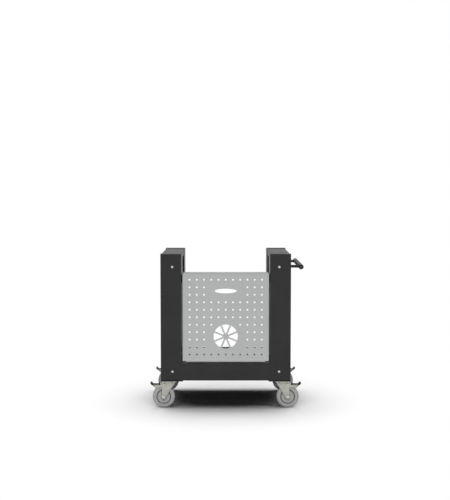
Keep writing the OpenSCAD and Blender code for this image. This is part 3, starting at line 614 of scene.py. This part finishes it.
def rounded_loop(half_width: float, half_height: float, power: float,
                 count: int) -> tuple[np.ndarray, np.ndarray]:
    """Makes a superellipse: both coordinates are a half size times the cosine or the sine of the angle,
    each raised to two over the power with its sign kept.

    Args:
        half_width: half of the size along the first coordinate.
        half_height: half of the size along the second coordinate.
        power: 2 gives an ellipse, and more squares it.
        count: number of points.

    Returns:
        First and second coordinate of each point.
    """
    angle = (np.arange(count) + 0.5) / count * 2 * np.pi
    cosine = np.cos(angle)
    sine = np.sin(angle)
    first = half_width * np.sign(cosine) * np.abs(cosine) ** (2 / power)
    second = half_height * np.sign(sine) * np.abs(sine) ** (2 / power)
    return first, second


class Workshop:
    """Holds the frame and one material for each slot, and makes the pieces of the scene."""

    def __init__(self, frame: dict) -> None:
        """Builds the materials and dresses every node of the frame.
        """
        self.frame = frame
        self.joints = {joint["name"]: joint for joint in frame["joints"]}
        self.materials = {finish.slot: finish.material() for finish in FINISHES}
        for name, node in frame["nodes"].items():
            slot = Slot(node.data.materials[0].name)
            node.data.materials[0] = self.materials[slot]
            log.info("node %s has the finish %s", name, slot.value)

    def pivot(self, joint: str) -> np.ndarray:
        """Returns the place of a joint's axis."""
        return np.array(self.joints[joint]["pos_m"])

    def extent(self, node: str) -> tuple[np.ndarray, np.ndarray]:
        """Returns the lowest and highest corner of a node."""
        low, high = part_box(node)
        return np.array(low), np.array(high)

    def add(self, mesh: bpy.types.Mesh, slot: Slot, body: str, *nodes: str) -> bpy.types.Object:
        """Adds a piece that rides on a body.

        Args:
            mesh: its mesh, in place.
            slot: slot of its finish.
            body: body that it moves with.
            nodes: nodes that it stands for.

        Returns:
            The new piece, named as its mesh.
        """
        piece = bpy.data.objects.new(mesh.name, mesh)
        bpy.context.scene.collection.objects.link(piece)
        mesh.materials.append(self.materials[slot])
        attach(piece, body)
        if nodes:
            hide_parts(*nodes)
        log.info("piece %s rides on %s with the finish %s", piece.name, body, slot.value)
        return piece

    def soften(self, node: str, slot: Slot, body: str, width: float) -> bpy.types.Object:
        """Puts a copy with rounded edges in the place of a node.

        Args:
            node: node to stand for.
            slot: slot of its finish.
            body: body that it moves with.
            width: width of the rounding.

        Returns:
            The new piece.
        """
        mesh = self.frame["nodes"][node].data.copy()
        mesh.name = node + "_soft"
        mesh.materials.clear()
        joined = bmesh.new()
        joined.from_mesh(mesh)
        bmesh.ops.remove_doubles(joined, verts=joined.verts, dist=MERGE_DISTANCE)
        bmesh.ops.dissolve_limit(joined, angle_limit=FLAT_ANGLE, verts=joined.verts, edges=joined.edges)
        joined.to_mesh(mesh)
        joined.free()
        mesh.shade_smooth()
        piece = self.add(mesh, slot, body, node)
        rounding = piece.modifiers.new("rounding", "BEVEL")
        rounding.width = width
        rounding.segments = 2
        rounding.angle_limit = SHARP_ANGLE
        rounding.use_clamp_overlap = False
        piece.modifiers.new("shading", "WEIGHTED_NORMAL")
        return piece


@dataclass
class Cart:
    """Folded frame with its panels, shelf, rails, corner plates and fasteners.

    Attributes:
        edge: rounding of the sheets' edges.
        bolt_edge: rounding of the bolts, nuts, pins and rivets.
        weld_r: radius of the weld beads.
        ripple: distance between the ripples of a bead.
        lip_l: length of the frame's lip that a corner plate is welded to.
        weld_start: distance from the plate's outer edge to the weld's first end.
    """

    edge: float = 0.35 * MM
    bolt_edge: float = 0.3 * MM
    weld_r: float = 1.6 * MM
    ripple: float = 2.4 * MM
    lip_l: float = 34 * MM
    weld_start: float = 4 * MM

    def build(self, shop: Workshop) -> None:
        """Rounds the edges of sheets and fasteners, and adds the welds of the corner plates.

        Args:
            shop: workshop with the frame.
        """
        for node in ("front_frame", "rear_frame", "side_panel_left", "side_panel_right", "shelf",
                     "seat_rail_left", "seat_rail_right"):
            shop.soften(node, Slot.PAINT, "cart", self.edge)
        for node in ("frame_bolts", "frame_nuts", "hinge_pins", "stop_pins", "caster_bolts", "caster_nuts",
                     "handle_screws", "shelf_rivets", "kingpins"):
            shop.soften(node, Slot.BRIGHT, "cart", self.bolt_edge)
        for corner in Corner:
            node = "corner_plate_" + corner.value
            shop.soften(node, Slot.PAINT, "cart", self.edge)
            shop.add(grid_mesh("weld_" + corner.value, self.plate_weld(shop, corner)[None], (True, False)),
                     Slot.PAINT, "cart")

    def plate_weld(self, shop: Workshop, corner: Corner) -> np.ndarray:
        """Lays a bead in the corner between a plate's inner edge and the frame's lower lip.

        Args:
            shop: workshop with the frame.
            corner: corner of the cart.

        Returns:
            Points of the bead.
        """
        low, high = shop.extent("corner_plate_" + corner.value)
        edge_x = low[0] if corner.side > 0 else high[0]
        start_y = (high[1] if corner.end > 0 else low[1]) - corner.end * self.weld_start
        count = 60
        run = start_y - corner.end * np.linspace(0, self.lip_l, count)
        path = np.stack([np.full(count, edge_x), run, np.full(count, high[2])], axis=-1)
        across = np.tile([1.0, 0.0, 0.0], (count, 1))
        return bead(path, across, self.weld_r, self.ripple)


@dataclass
class Door:
    """Perforated door with its strikes, and the catches that hold it.

    Attributes:
        edge: rounding of the door's cut edges.
        catch_edge: rounding of the catches.
    """

    edge: float = 0.2 * MM
    catch_edge: float = 0.8 * MM

    def build(self, shop: Workshop) -> None:
        """Rounds the edges of the door, its strikes and its catches.

        Args:
            shop: workshop with the frame.
        """
        shop.soften("door_panel", Slot.DOOR, "door", self.edge)
        shop.soften("strike_plates", Slot.ZINC, "door", self.edge)
        shop.soften("door_catches", Slot.BLACK, "cart", self.catch_edge)


@dataclass
class Handle:
    """Push handle: tube, end caps and arms.

    Attributes:
        cap_l: length of a cap past the tube.
        dish: depth of the dish in a cap's face.
        tube_wall: distance from the tube's outside to the plug of a cap.
        arm_r: radius of an arm.
        weld_r: radius of the weld round an arm.
        foot_edge: rounding of the arms' feet.
    """

    cap_l: float = 5 * MM
    dish: float = 0.6 * MM
    tube_wall: float = 2.1 * MM
    arm_r: float = 8 * MM
    weld_r: float = 1.3 * MM
    foot_edge: float = 0.6 * MM

    def build(self, shop: Workshop) -> None:
        """Rounds the arms' feet, adds their welds and puts domed caps on the tube.

        Args:
            shop: workshop with the frame.
        """
        low, high = shop.extent("handle_bar")
        centre = (low + high) / 2
        radius = (high[2] - low[2]) / 2
        shop.soften("handle_arms", Slot.PAINT, "cart", self.foot_edge)
        shop.add(grid_mesh("handle_welds", self.welds(shop, centre, radius), (True, True)), Slot.PAINT,
                 "cart")
        ends = [laid(self.cap(radius), Axis.Y, centre + [0, sign * (high[1] - centre[1]), 0], sign)
                for sign in (-1, 1)]
        shop.add(grid_mesh("handle_end_caps", np.array(ends), (True, False)), Slot.BLACK, "cart",
                 "handle_caps")

    def cap(self, radius: float) -> np.ndarray:
        """Turns a cap: a plug in the tube, a rim, a quarter round and a dished face.

        Args:
            radius: outside radius of the tube.

        Returns:
            Points of the cap, with its seat at z = 0.
        """
        plug_r = radius - self.tube_wall
        corner = self.cap_l * 0.8
        turn = np.linspace(0, np.pi / 2, 13)
        face = np.linspace(1, 0, 9)[1:]
        radii = np.concatenate([[0, plug_r, plug_r, radius], radius - corner * (1 - np.cos(turn)),
                                (radius - corner) * face])
        heights = np.concatenate([[-2 * self.cap_l, -2 * self.cap_l, 0, 0],
                                  self.cap_l - corner * (1 - np.sin(turn)),
                                  self.cap_l - self.dish * (1 - face ** 4)])
        return turned(radii, heights, 72)

    def welds(self, shop: Workshop, centre: np.ndarray, radius: float) -> np.ndarray:
        """Runs a bead round each arm where it meets the tube.

        The path goes round the arm's radius; its X lies on the tube, at the root of the tube's radius
        squared less Z squared before the tube's axis.

        Args:
            shop: workshop with the frame.
            centre: middle of the tube.
            radius: outside radius of the tube.

        Returns:
            Points of both beads.
        """
        low, high = shop.extent("handle_arms")
        foot_r = (high[2] - low[2]) / 2
        steps = 72
        sides = 10
        half_ripples = 11
        angle = np.arange(steps) / steps * 2 * np.pi
        lift = self.arm_r * np.sin(angle)
        path = np.stack([-np.sqrt(radius ** 2 - lift ** 2), self.arm_r * np.cos(angle), lift], axis=-1)
        outward = np.stack([np.zeros(steps), np.cos(angle), np.sin(angle)], axis=-1)
        swell = self.weld_r * (1 + np.abs(np.sin(angle * half_ripples)) / 8)
        turn = (np.arange(sides) / sides * 2 * np.pi)[:, None, None]
        ring = path + swell[:, None] * (np.cos(turn) * outward + np.sin(turn) * np.array([1.0, 0, 0]))
        places = [[centre[0], y, centre[2]] for y in (low[1] + foot_r, high[1] - foot_r)]
        return np.array([ring + place for place in places])


@dataclass
class Caster:
    """One swivel caster: plate, fork, wheel, axle, pedal and sleeve.

    Attributes:
        corner: corner of the cart that it stands at.
        tyre_power: how square the tyre's section is.
        seat_r: radius at which the tyre sits on the hub.
        groove_shade_w: half of the width of the shade painted in the groove there.
        ring_r: radius of the moulded ring on the tyre's side.
        ring_h: height of that ring.
        ring_w: half of its width.
        band: distances below the tread at which the dirt starts and is full.
        rim: width of the hub's rim.
        rim_set: how far the rim stands back from the tyre's side.
        rim_round: width and fall of the rounding at the rim's outside.
        slopes: how softly the web rises to the boss and to the rim.
        play: clearance between the hub, the tyre and the bearings.
        web_w: thickness of the hub's web.
        boss_r: radius of the hub's boss.
        boss_w: width of the boss.
        bearing_r: outside radius of the bearings.
        bearing_w: width of a bearing.
        bearing_ring: width of a bearing's rings.
        shield_set: how far its shield is sunk.
        bearing_play: clearance between a bearing and the axle.
        axle_r: radius of the axle.
        head_af: width across the flats of the axle's head and nut.
        head_h: height of that head.
        nut_h: height of that nut.
        tail_l: length of the axle past the nut.
        pitch: rise of the axle's thread in a turn.
        pin_r: radius of the pedal's pin.
        pin_head: radius and height of that pin's heads.
        rib_t: height of the pressed rib under those heads.
        edge: rounding of the pressed parts.
        pad_tilt: slope of the pedal's tongue.
        sleeve_at: middle of the sleeve, out from the swivel axis and up from the floor.
        sleeve: length, width and thickness of the sleeve.
        lever_at: middle of the lever, in the same way.
        lever: length, width and thickness of the lever.
        root_at: middle of the lever's block at the pedal's web, in the same way.
        root: length, width and thickness of that block.
        rib_pitch: distance between the sleeve's ribs.
        rib_h: height of the ribs.
    """

    corner: Corner
    tyre_power: float = 4.0
    seat_r: float = 38 * MM
    groove_shade_w: float = 2.6 * MM
    ring_r: float = 51 * MM
    ring_h: float = 0.5 * MM
    ring_w: float = 1.2 * MM
    band: tuple[float, float] = (4 * MM, 1 * MM)
    rim: float = 7 * MM
    rim_set: float = 0.5 * MM
    rim_round: tuple[float, float] = (2.5 * MM, 2 * MM)
    slopes: tuple[float, float] = (0.35 * MM, 0.5 * MM)
    play: float = 0.1 * MM
    web_w: float = 24 * MM
    boss_r: float = 17 * MM
    boss_w: float = 40 * MM
    bearing_r: float = 11 * MM
    bearing_w: float = 8 * MM
    bearing_ring: float = 2 * MM
    shield_set: float = 0.7 * MM
    bearing_play: float = 0.05 * MM
    axle_r: float = 5 * MM
    head_af: float = 16 * MM
    head_h: float = 6 * MM
    nut_h: float = 8 * MM
    tail_l: float = 3 * MM
    pitch: float = 1.5 * MM
    pin_r: float = 3 * MM
    pin_head: tuple[float, float] = (4.8 * MM, 2 * MM)
    rib_t: float = 1 * MM
    edge: float = 0.5 * MM
    pad_tilt: float = math.radians(45)
    sleeve_at: tuple[float, float] = (96.36 * MM, 134.13 * MM)
    sleeve: tuple[float, float, float] = (18 * MM, 47.4 * MM, 7.5 * MM)
    lever_at: tuple[float, float] = (73.5 * MM, 132.6 * MM)
    lever: tuple[float, float, float] = (43.7 * MM, 20 * MM, 1.6 * MM)
    root_at: tuple[float, float] = (54 * MM, 133.75 * MM)
    root: tuple[float, float, float] = (8 * MM, 20 * MM, 10.5 * MM)
    rib_pitch: float = 3.6 * MM
    rib_h: float = 0.5 * MM

    def build(self, shop: Workshop) -> None:
        """Makes the wheel, the axle's hardware and the sleeve, and rounds the pressed parts.

        Args:
            shop: workshop with the frame.
        """
        key = self.corner.value
        hub_at = shop.pivot("wheel_roll_" + key)
        low, high = shop.extent("tyre_" + key)
        tread = laid(self.tyre(low, high, shop), Axis.Y, hub_at)[None]
        tyre = grid_mesh("wheel_tyre_" + key, tread, (True, True))
        core = laid(self.hub(high[1] - low[1]), Axis.Y, hub_at)[None]
        hub = grid_mesh("wheel_hub_" + key, core, (True, True))
        for mesh in (tyre, hub):
            self.mark(mesh, hub_at, high[2] / 2)
        shop.add(tyre, Slot.TYRE, "wheel_" + key, "tyre_" + key)
        shop.add(hub, Slot.HUB, "wheel_" + key, "hub_" + key)
        bearings = np.array([laid(self.bearing(), Axis.Y, hub_at, sign) for sign in (-1, 1)])
        shop.add(grid_mesh("bearings_" + key, bearings, (True, True)), Slot.BRIGHT, "wheel_" + key,
                 "hub_" + key)
        shop.soften("fork_" + key, Slot.ZINC, "swivel_" + key, self.edge)
        shop.soften("pedal_" + key, Slot.ZINC, "brake_" + key, self.edge)
        shop.soften("caster_plate_" + key, Slot.ZINC, "cart", self.edge)
        parts = [self.block(shop, self.sleeve_at, self.sleeve, self.pad_tilt, self.rib_h),
                 self.block(shop, self.lever_at, self.lever, 0.0, 0.0),
                 self.block(shop, self.root_at, self.root, 0.0, 0.0)]
        shop.add(grid_mesh("pedal_sleeve_" + key, np.array(parts), (True, False)), Slot.BLACK,
                 "brake_" + key, "sleeve_" + key)
        self.hardware(shop)

    def hardware(self, shop: Workshop) -> None:
        """Makes the axle's head, shank, nut and threaded end, and the pedal's pin.

        Args:
            shop: workshop with the frame.
        """
        key = self.corner.value
        side = self.corner.side
        low, high = shop.extent("axle_" + key)
        seat = (high[1] - low[1] - self.head_h - self.nut_h - self.tail_l) / 2
        hub_at = shop.pivot("wheel_roll_" + key)
        pin_at = shop.pivot("brake_press_" + key)
        near = hub_at - [0, side * seat, 0]
        far = hub_at + [0, side * seat, 0]
        rod = turned(np.array([0, self.axle_r, self.axle_r, 0]), np.array([-seat, -seat, seat, seat]), 48)
        thread = threaded(self.axle_r, self.nut_h + self.tail_l, self.pitch, self.pitch / 2)
        shapes = {
            "axle_head": laid(hexagon(self.head_af, self.head_h), Axis.Y, near, -side),
            "axle_nut": laid(hexagon(self.head_af, self.nut_h), Axis.Y, far, side),
            "axle_thread": laid(thread, Axis.Y, far, side),
            "axle_shank": laid(rod, Axis.Y, hub_at),
            "pedal_pin": laid(self.pin(seat + self.rib_t), Axis.Y, pin_at)}
        for name, points in shapes.items():
            shop.add(grid_mesh(name + "_" + key, points[None], (True, False)), Slot.BRIGHT, "swivel_" + key,
                     "axle_" + key)

    def pin(self, seat: float) -> np.ndarray:
        """Turns the pedal's pin, whose two heads have a quarter round at their rims.

        Args:
            seat: distance from its middle to a head.

        Returns:
            Points of the pin.
        """
        turn = np.linspace(0, np.pi / 2, 7)
        round_r = self.pin_head[1] * 0.8
        rim_r = self.pin_head[0] - round_r * (1 - np.cos(turn))
        rim_h = seat + self.pin_head[1] - round_r * (1 - np.sin(turn))
        radii = np.concatenate([[self.pin_r, self.pin_head[0]], rim_r, [0]])
        heights = np.concatenate([[seat, seat], rim_h, [rim_h[-1]]])
        return turned(np.concatenate([radii[::-1], radii]), np.concatenate([-heights[::-1], heights]), 48)

    def tyre(self, low: np.ndarray, high: np.ndarray, shop: Workshop) -> np.ndarray:
        """Turns the tyre: a superellipse between the hub and the tread, with a moulded ring on each side.

        Args:
            low: lowest corner of the tyre.
            high: highest corner of the tyre.
            shop: workshop with the frame.

        Returns:
            Points of the tyre about its own axis.
        """
        hub_low, hub_high = shop.extent("hub_" + self.corner.value)
        inner = (hub_high[2] - hub_low[2]) / 2
        outer = (high[2] - low[2]) / 2
        depth, half = rounded_loop((outer - inner) / 2, (high[1] - low[1]) / 2, self.tyre_power, 96)
        radii = (outer + inner) / 2 + depth
        ring = self.ring_h * np.exp(-((radii - self.ring_r) / self.ring_w) ** 2)
        return turned(radii, half - np.sign(half) * ring, 144)

    def mark(self, mesh: bpy.types.Mesh, hub_at: np.ndarray, outer: float) -> None:
        """Writes the tread and groove_shade attributes from each point's distance to the axle.

        The tread is 1 on the rolling band. The groove_shade is painted shade, a bell curve round the seat of
        the tyre where the groove lies.

        Args:
            mesh: mesh of the tyre or the hub.
            hub_at: middle of the wheel.
            outer: outside radius of the tyre.
        """
        points = np.zeros(len(mesh.vertices) * 3)
        mesh.vertices.foreach_get("co", points)
        away = points.reshape(-1, 3) - hub_at
        radius = np.hypot(away[:, 0], away[:, 2])
        band = np.clip((radius - (outer - self.band[0])) / (self.band[0] - self.band[1]), 0, 1)
        # painted shade round the seat of the tyre, where the groove between tyre and hub lies
        groove_shade = np.exp(-((radius - self.seat_r) / self.groove_shade_w) ** 2)
        mesh.attributes.new("tread", "FLOAT", "POINT").data.foreach_set("value", band)
        mesh.attributes.new("groove_shade", "FLOAT", "POINT").data.foreach_set("value", groove_shade)

    def hub(self, tyre_w: float) -> np.ndarray:
        """Turns the hub: its half width is the web's, and rises smoothly to the boss and to the rim.

        Args:
            tyre_w: width of the tyre.

        Returns:
            Points of the hub about its own axis.
        """
        outer = self.seat_r - self.play
        round_w, round_fall = self.rim_round
        radii = np.linspace(self.bearing_r, outer, 90)
        to_boss = 1 / (1 + np.exp((radii - self.boss_r) / self.slopes[0]))
        to_rim = 1 / (1 + np.exp((outer - self.rim - radii) / self.slopes[1]))
        rounding = np.clip((radii - outer + round_w) / round_w, 0, 1) ** 2
        rim_half = tyre_w / 2 - self.rim_set - round_fall * rounding
        half = self.web_w / 2 + (self.boss_w - self.web_w) / 2 * to_boss
        half = half * (1 - to_rim) + rim_half * to_rim
        loop_r = np.concatenate([radii, radii[::-1]])
        loop_h = np.concatenate([half, -half[::-1]])
        return turned(loop_r, loop_h, 144)

    def bearing(self) -> np.ndarray:
        """Turns a bearing at the boss's end: outer ring, sunk shield and inner ring.

        Returns:
            Points of the bearing, on the positive side of the axis.
        """
        inner = self.axle_r + self.bearing_play
        outer = self.bearing_r
        end = self.boss_w / 2 - self.play
        start = end - self.bearing_w
        sunk = end - self.shield_set
        groove = (inner + self.bearing_ring, outer - self.bearing_ring)
        radii = np.array([inner, inner, groove[0], groove[0], groove[1], groove[1], outer, outer])
        heights = np.array([start, end, end, sunk, sunk, end, end, start])
        return turned(radii, heights, 72)

    def block(self, shop: Workshop, centre: tuple[float, float],
              size: tuple[float, float, float], tilt: float, rib_h: float) -> np.ndarray:
        """Shapes a squared ball beside the swivel axis, with ribs across its upper face.

        The section is a superellipse; it shrinks to a point at both ends of the width, again by a
        superellipse. The ribs add a cosine of the place along the block.

        Args:
            shop: workshop with the frame.
            centre: its middle, out from the swivel axis and up from the floor.
            size: its length, width and thickness.
            tilt: slope of its length.
            rib_h: height of the ribs.

        Returns:
            Points of the block, in place.
        """
        half_t = size[2] / 2 - rib_h
        section_power = 5
        end_power = 12
        along, up = rounded_loop(size[0] / 2, half_t, section_power, 120)
        ribs = rib_h * np.clip(np.cos(2 * np.pi * along / self.rib_pitch), 0, 1) * (up > half_t * 0.8)
        turn = np.linspace(-np.pi / 2, np.pi / 2, 41)
        shrink = np.abs(np.cos(turn)) ** (2 / end_power)
        across = np.sign(turn) * np.abs(np.sin(turn)) ** (2 / end_power) * size[1] / 2
        flat = np.clip((shrink - 0.9) / 0.1, 0, 1)
        section_x = along[:, None] * shrink
        section_z = up[:, None] * shrink + ribs[:, None] * flat
        out = centre[0] + section_x * math.cos(tilt) - section_z * math.sin(tilt)
        height = centre[1] + section_x * math.sin(tilt) + section_z * math.cos(tilt)
        axis = shop.pivot("swivel_turn_" + self.corner.value)
        place_x = axis[0] + self.corner.side * out
        place_y = axis[1] + np.broadcast_to(across, out.shape)
        return np.stack([place_x, place_y, height], axis=-1)


@dataclass
class Studio:
    """Pale floor, soft lamps and the camera.

    Attributes:
        lens: focal length in millimetres.
        sensor: width of the camera's sensor in millimetres.
        camera_at: place of the camera.
        camera_down: how far the camera looks down.
        floor_shade: colour of the floor.
        shadow_shade: colour of the shadow painted into the floor under the cart.
        shadow_glow: faint glow painted into the deepest painted shadow.
        fade: distances at which the floor starts to turn white and has turned white.
        shelter: openness of the floor to its surroundings at which the painted shadow is full and gone.
        reach: distance up to which the floor looks for that openness.
        lean: how far to the back the floor looks for that openness.
        ambient: light that the surroundings give to dull surfaces.
        mirrored: light that reflections find in the surroundings.
    """

    lens: float = 69.3
    sensor: float = 36.0
    camera_at: tuple[float, float, float] = (-0.004, -5.572, 1.236)
    camera_down: float = math.radians(3.76)
    floor_shade: str = "#f2f2f2"
    shadow_shade: str = "#1c1c1d"
    shadow_glow: float = 0.008
    fade: tuple[float, float] = (0.35, 0.80)
    shelter: tuple[float, float] = (0.33, 0.48)
    reach: float = 1.0
    lean: float = math.radians(15)
    ambient: float = 0.05
    mirrored: float = 0.75

    def build(self) -> None:
        """Makes the floor, the surroundings, the lamps and the camera."""
        self.floor()
        self.surroundings()
        self.lamp("overhead", (0.0, 0.8, 3.0), (0.0, 0.0, 0.3), (2.0, 2.0), 85.0)
        self.lamp("front", (0.0, -3.4, 2.6), (0.0, 0.0, 0.4), (4.4, 1.5), 120.0)
        camera = bpy.data.cameras.new("camera")
        camera.lens = self.lens
        camera.sensor_width = self.sensor
        holder = bpy.data.objects.new("camera", camera)
        holder.location = self.camera_at
        holder.rotation_euler = (math.pi / 2 - self.camera_down, 0.0, 0.0)
        bpy.context.scene.collection.objects.link(holder)
        bpy.context.scene.camera = holder

    def floor(self) -> None:
        """Lays a floor with a shadow painted into its colour near the cart, and that turns white further
        out.
        """
        half = 12.0
        front_row = [[-half, -half, 0.0], [half, -half, 0.0]]
        back_row = [[-half, half, 0.0], [half, half, 0.0]]
        mesh = grid_mesh("floor", np.array([[front_row, back_row]]), (False, False))
        shader = Shader("floor")
        shader.surface.inputs["Roughness"].default_value = 0.8
        shader.surface.inputs["Specular IOR Level"].default_value = 0.0
        # painted shadow: the floor's colour sinks to the shadow shade, and glows faintly, where the cart
        # shuts it in
        openness = shader.add("ShaderNodeAmbientOcclusion", samples=16)
        openness.inputs["Distance"].default_value = self.reach
        towards = shader.add("ShaderNodeCombineXYZ")
        for axis, share in zip("XYZ", (0.0, math.sin(self.lean), math.cos(self.lean))):
            towards.inputs[axis].default_value = share
        shader.join(towards.outputs["Vector"], openness, "Normal")
        painted_shadow = shader.remap(openness.outputs["AO"], self.shelter, (1.0, 0.0))
        shader.join(shader.blend(painted_shadow, self.floor_shade, self.shadow_shade), shader.surface, "Base Color")
        shader.surface.inputs["Emission Color"].default_value = WHITE
        shader.join(shader.maths("MULTIPLY", painted_shadow, self.shadow_glow), shader.surface, "Emission Strength")
        away = shader.add("ShaderNodeVectorMath", operation="LENGTH")
        shader.join(shader.place, away, 0)
        far = shader.remap(away.outputs["Value"], self.fade, (0.0, 1.0))
        path = shader.add("ShaderNodeLightPath")
        seen = shader.maths("MAXIMUM", path.outputs["Is Camera Ray"], path.outputs["Is Glossy Ray"])
        white = shader.add("ShaderNodeEmission")
        mix = shader.add("ShaderNodeMixShader")
        shader.join(shader.maths("MULTIPLY", far, seen), mix, 0)
        shader.join(shader.surface.outputs["BSDF"], mix, 1)
        shader.join(white.outputs["Emission"], mix, 2)
        shader.join(mix.outputs["Shader"], shader.output, "Surface")
        mesh.materials.append(shader.material)
        piece = bpy.data.objects.new("floor", mesh)
        bpy.context.scene.collection.objects.link(piece)

    def surroundings(self) -> None:
        """Gives the world a low even light, and white where the camera or a reflection sees it."""
        world = bpy.data.worlds.new("studio")
        world.use_nodes = True
        bpy.context.scene.world = world
        nodes = world.node_tree.nodes
        links = world.node_tree.links
        nodes["Background"].inputs["Color"].default_value = WHITE
        nodes["Background"].inputs["Strength"].default_value = self.ambient
        path = nodes.new("ShaderNodeLightPath")
        below = nodes["Background"].outputs["Background"]
        for ray, strength in (("Is Glossy Ray", self.mirrored), ("Is Camera Ray", 1.0)):
            light = nodes.new("ShaderNodeBackground")
            light.inputs["Color"].default_value = WHITE
            light.inputs["Strength"].default_value = strength
            mix = nodes.new("ShaderNodeMixShader")
            links.new(path.outputs[ray], mix.inputs[0])
            links.new(below, mix.inputs[1])
            links.new(light.outputs["Background"], mix.inputs[2])
            below = mix.outputs["Shader"]
        links.new(below, nodes["World Output"].inputs["Surface"])

    def lamp(self, name: str, place: tuple[float, float, float], target: tuple[float, float, float],
             size: tuple[float, float], power: float) -> None:
        """Hangs a soft lamp that reflections don't show.

        Args:
            name: name of the lamp.
            place: where it hangs.
            target: what it points at.
            size: its width and height.
            power: power in watts.
        """
        light = bpy.data.lights.new(name, "AREA")
        light.shape = "RECTANGLE"
        light.size, light.size_y = size
        light.energy = power
        holder = bpy.data.objects.new(name, light)
        holder.location = place
        direction = Vector(target) - Vector(place)
        holder.rotation_euler = direction.to_track_quat("-Z", "Y").to_euler()
        holder.visible_glossy = False
        bpy.context.scene.collection.objects.link(holder)


def clear() -> None:
    """Removes what a new Blender file holds."""
    for thing in list(bpy.data.objects):
        bpy.data.objects.remove(thing)


def main() -> None:
    """Builds the sub-assemblies in order, then the studio."""
    logging.basicConfig(level=logging.INFO, format="%(name)s: %(message)s")
    clear()
    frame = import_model()
    shop = Workshop(frame)
    Cart().build(shop)
    Door().build(shop)
    Handle().build(shop)
    for corner in Corner:
        Caster(corner).build(shop)
    Studio().build()
    bpy.context.scene.view_settings.view_transform = "Standard"


if __name__ == "__main__":
    main()
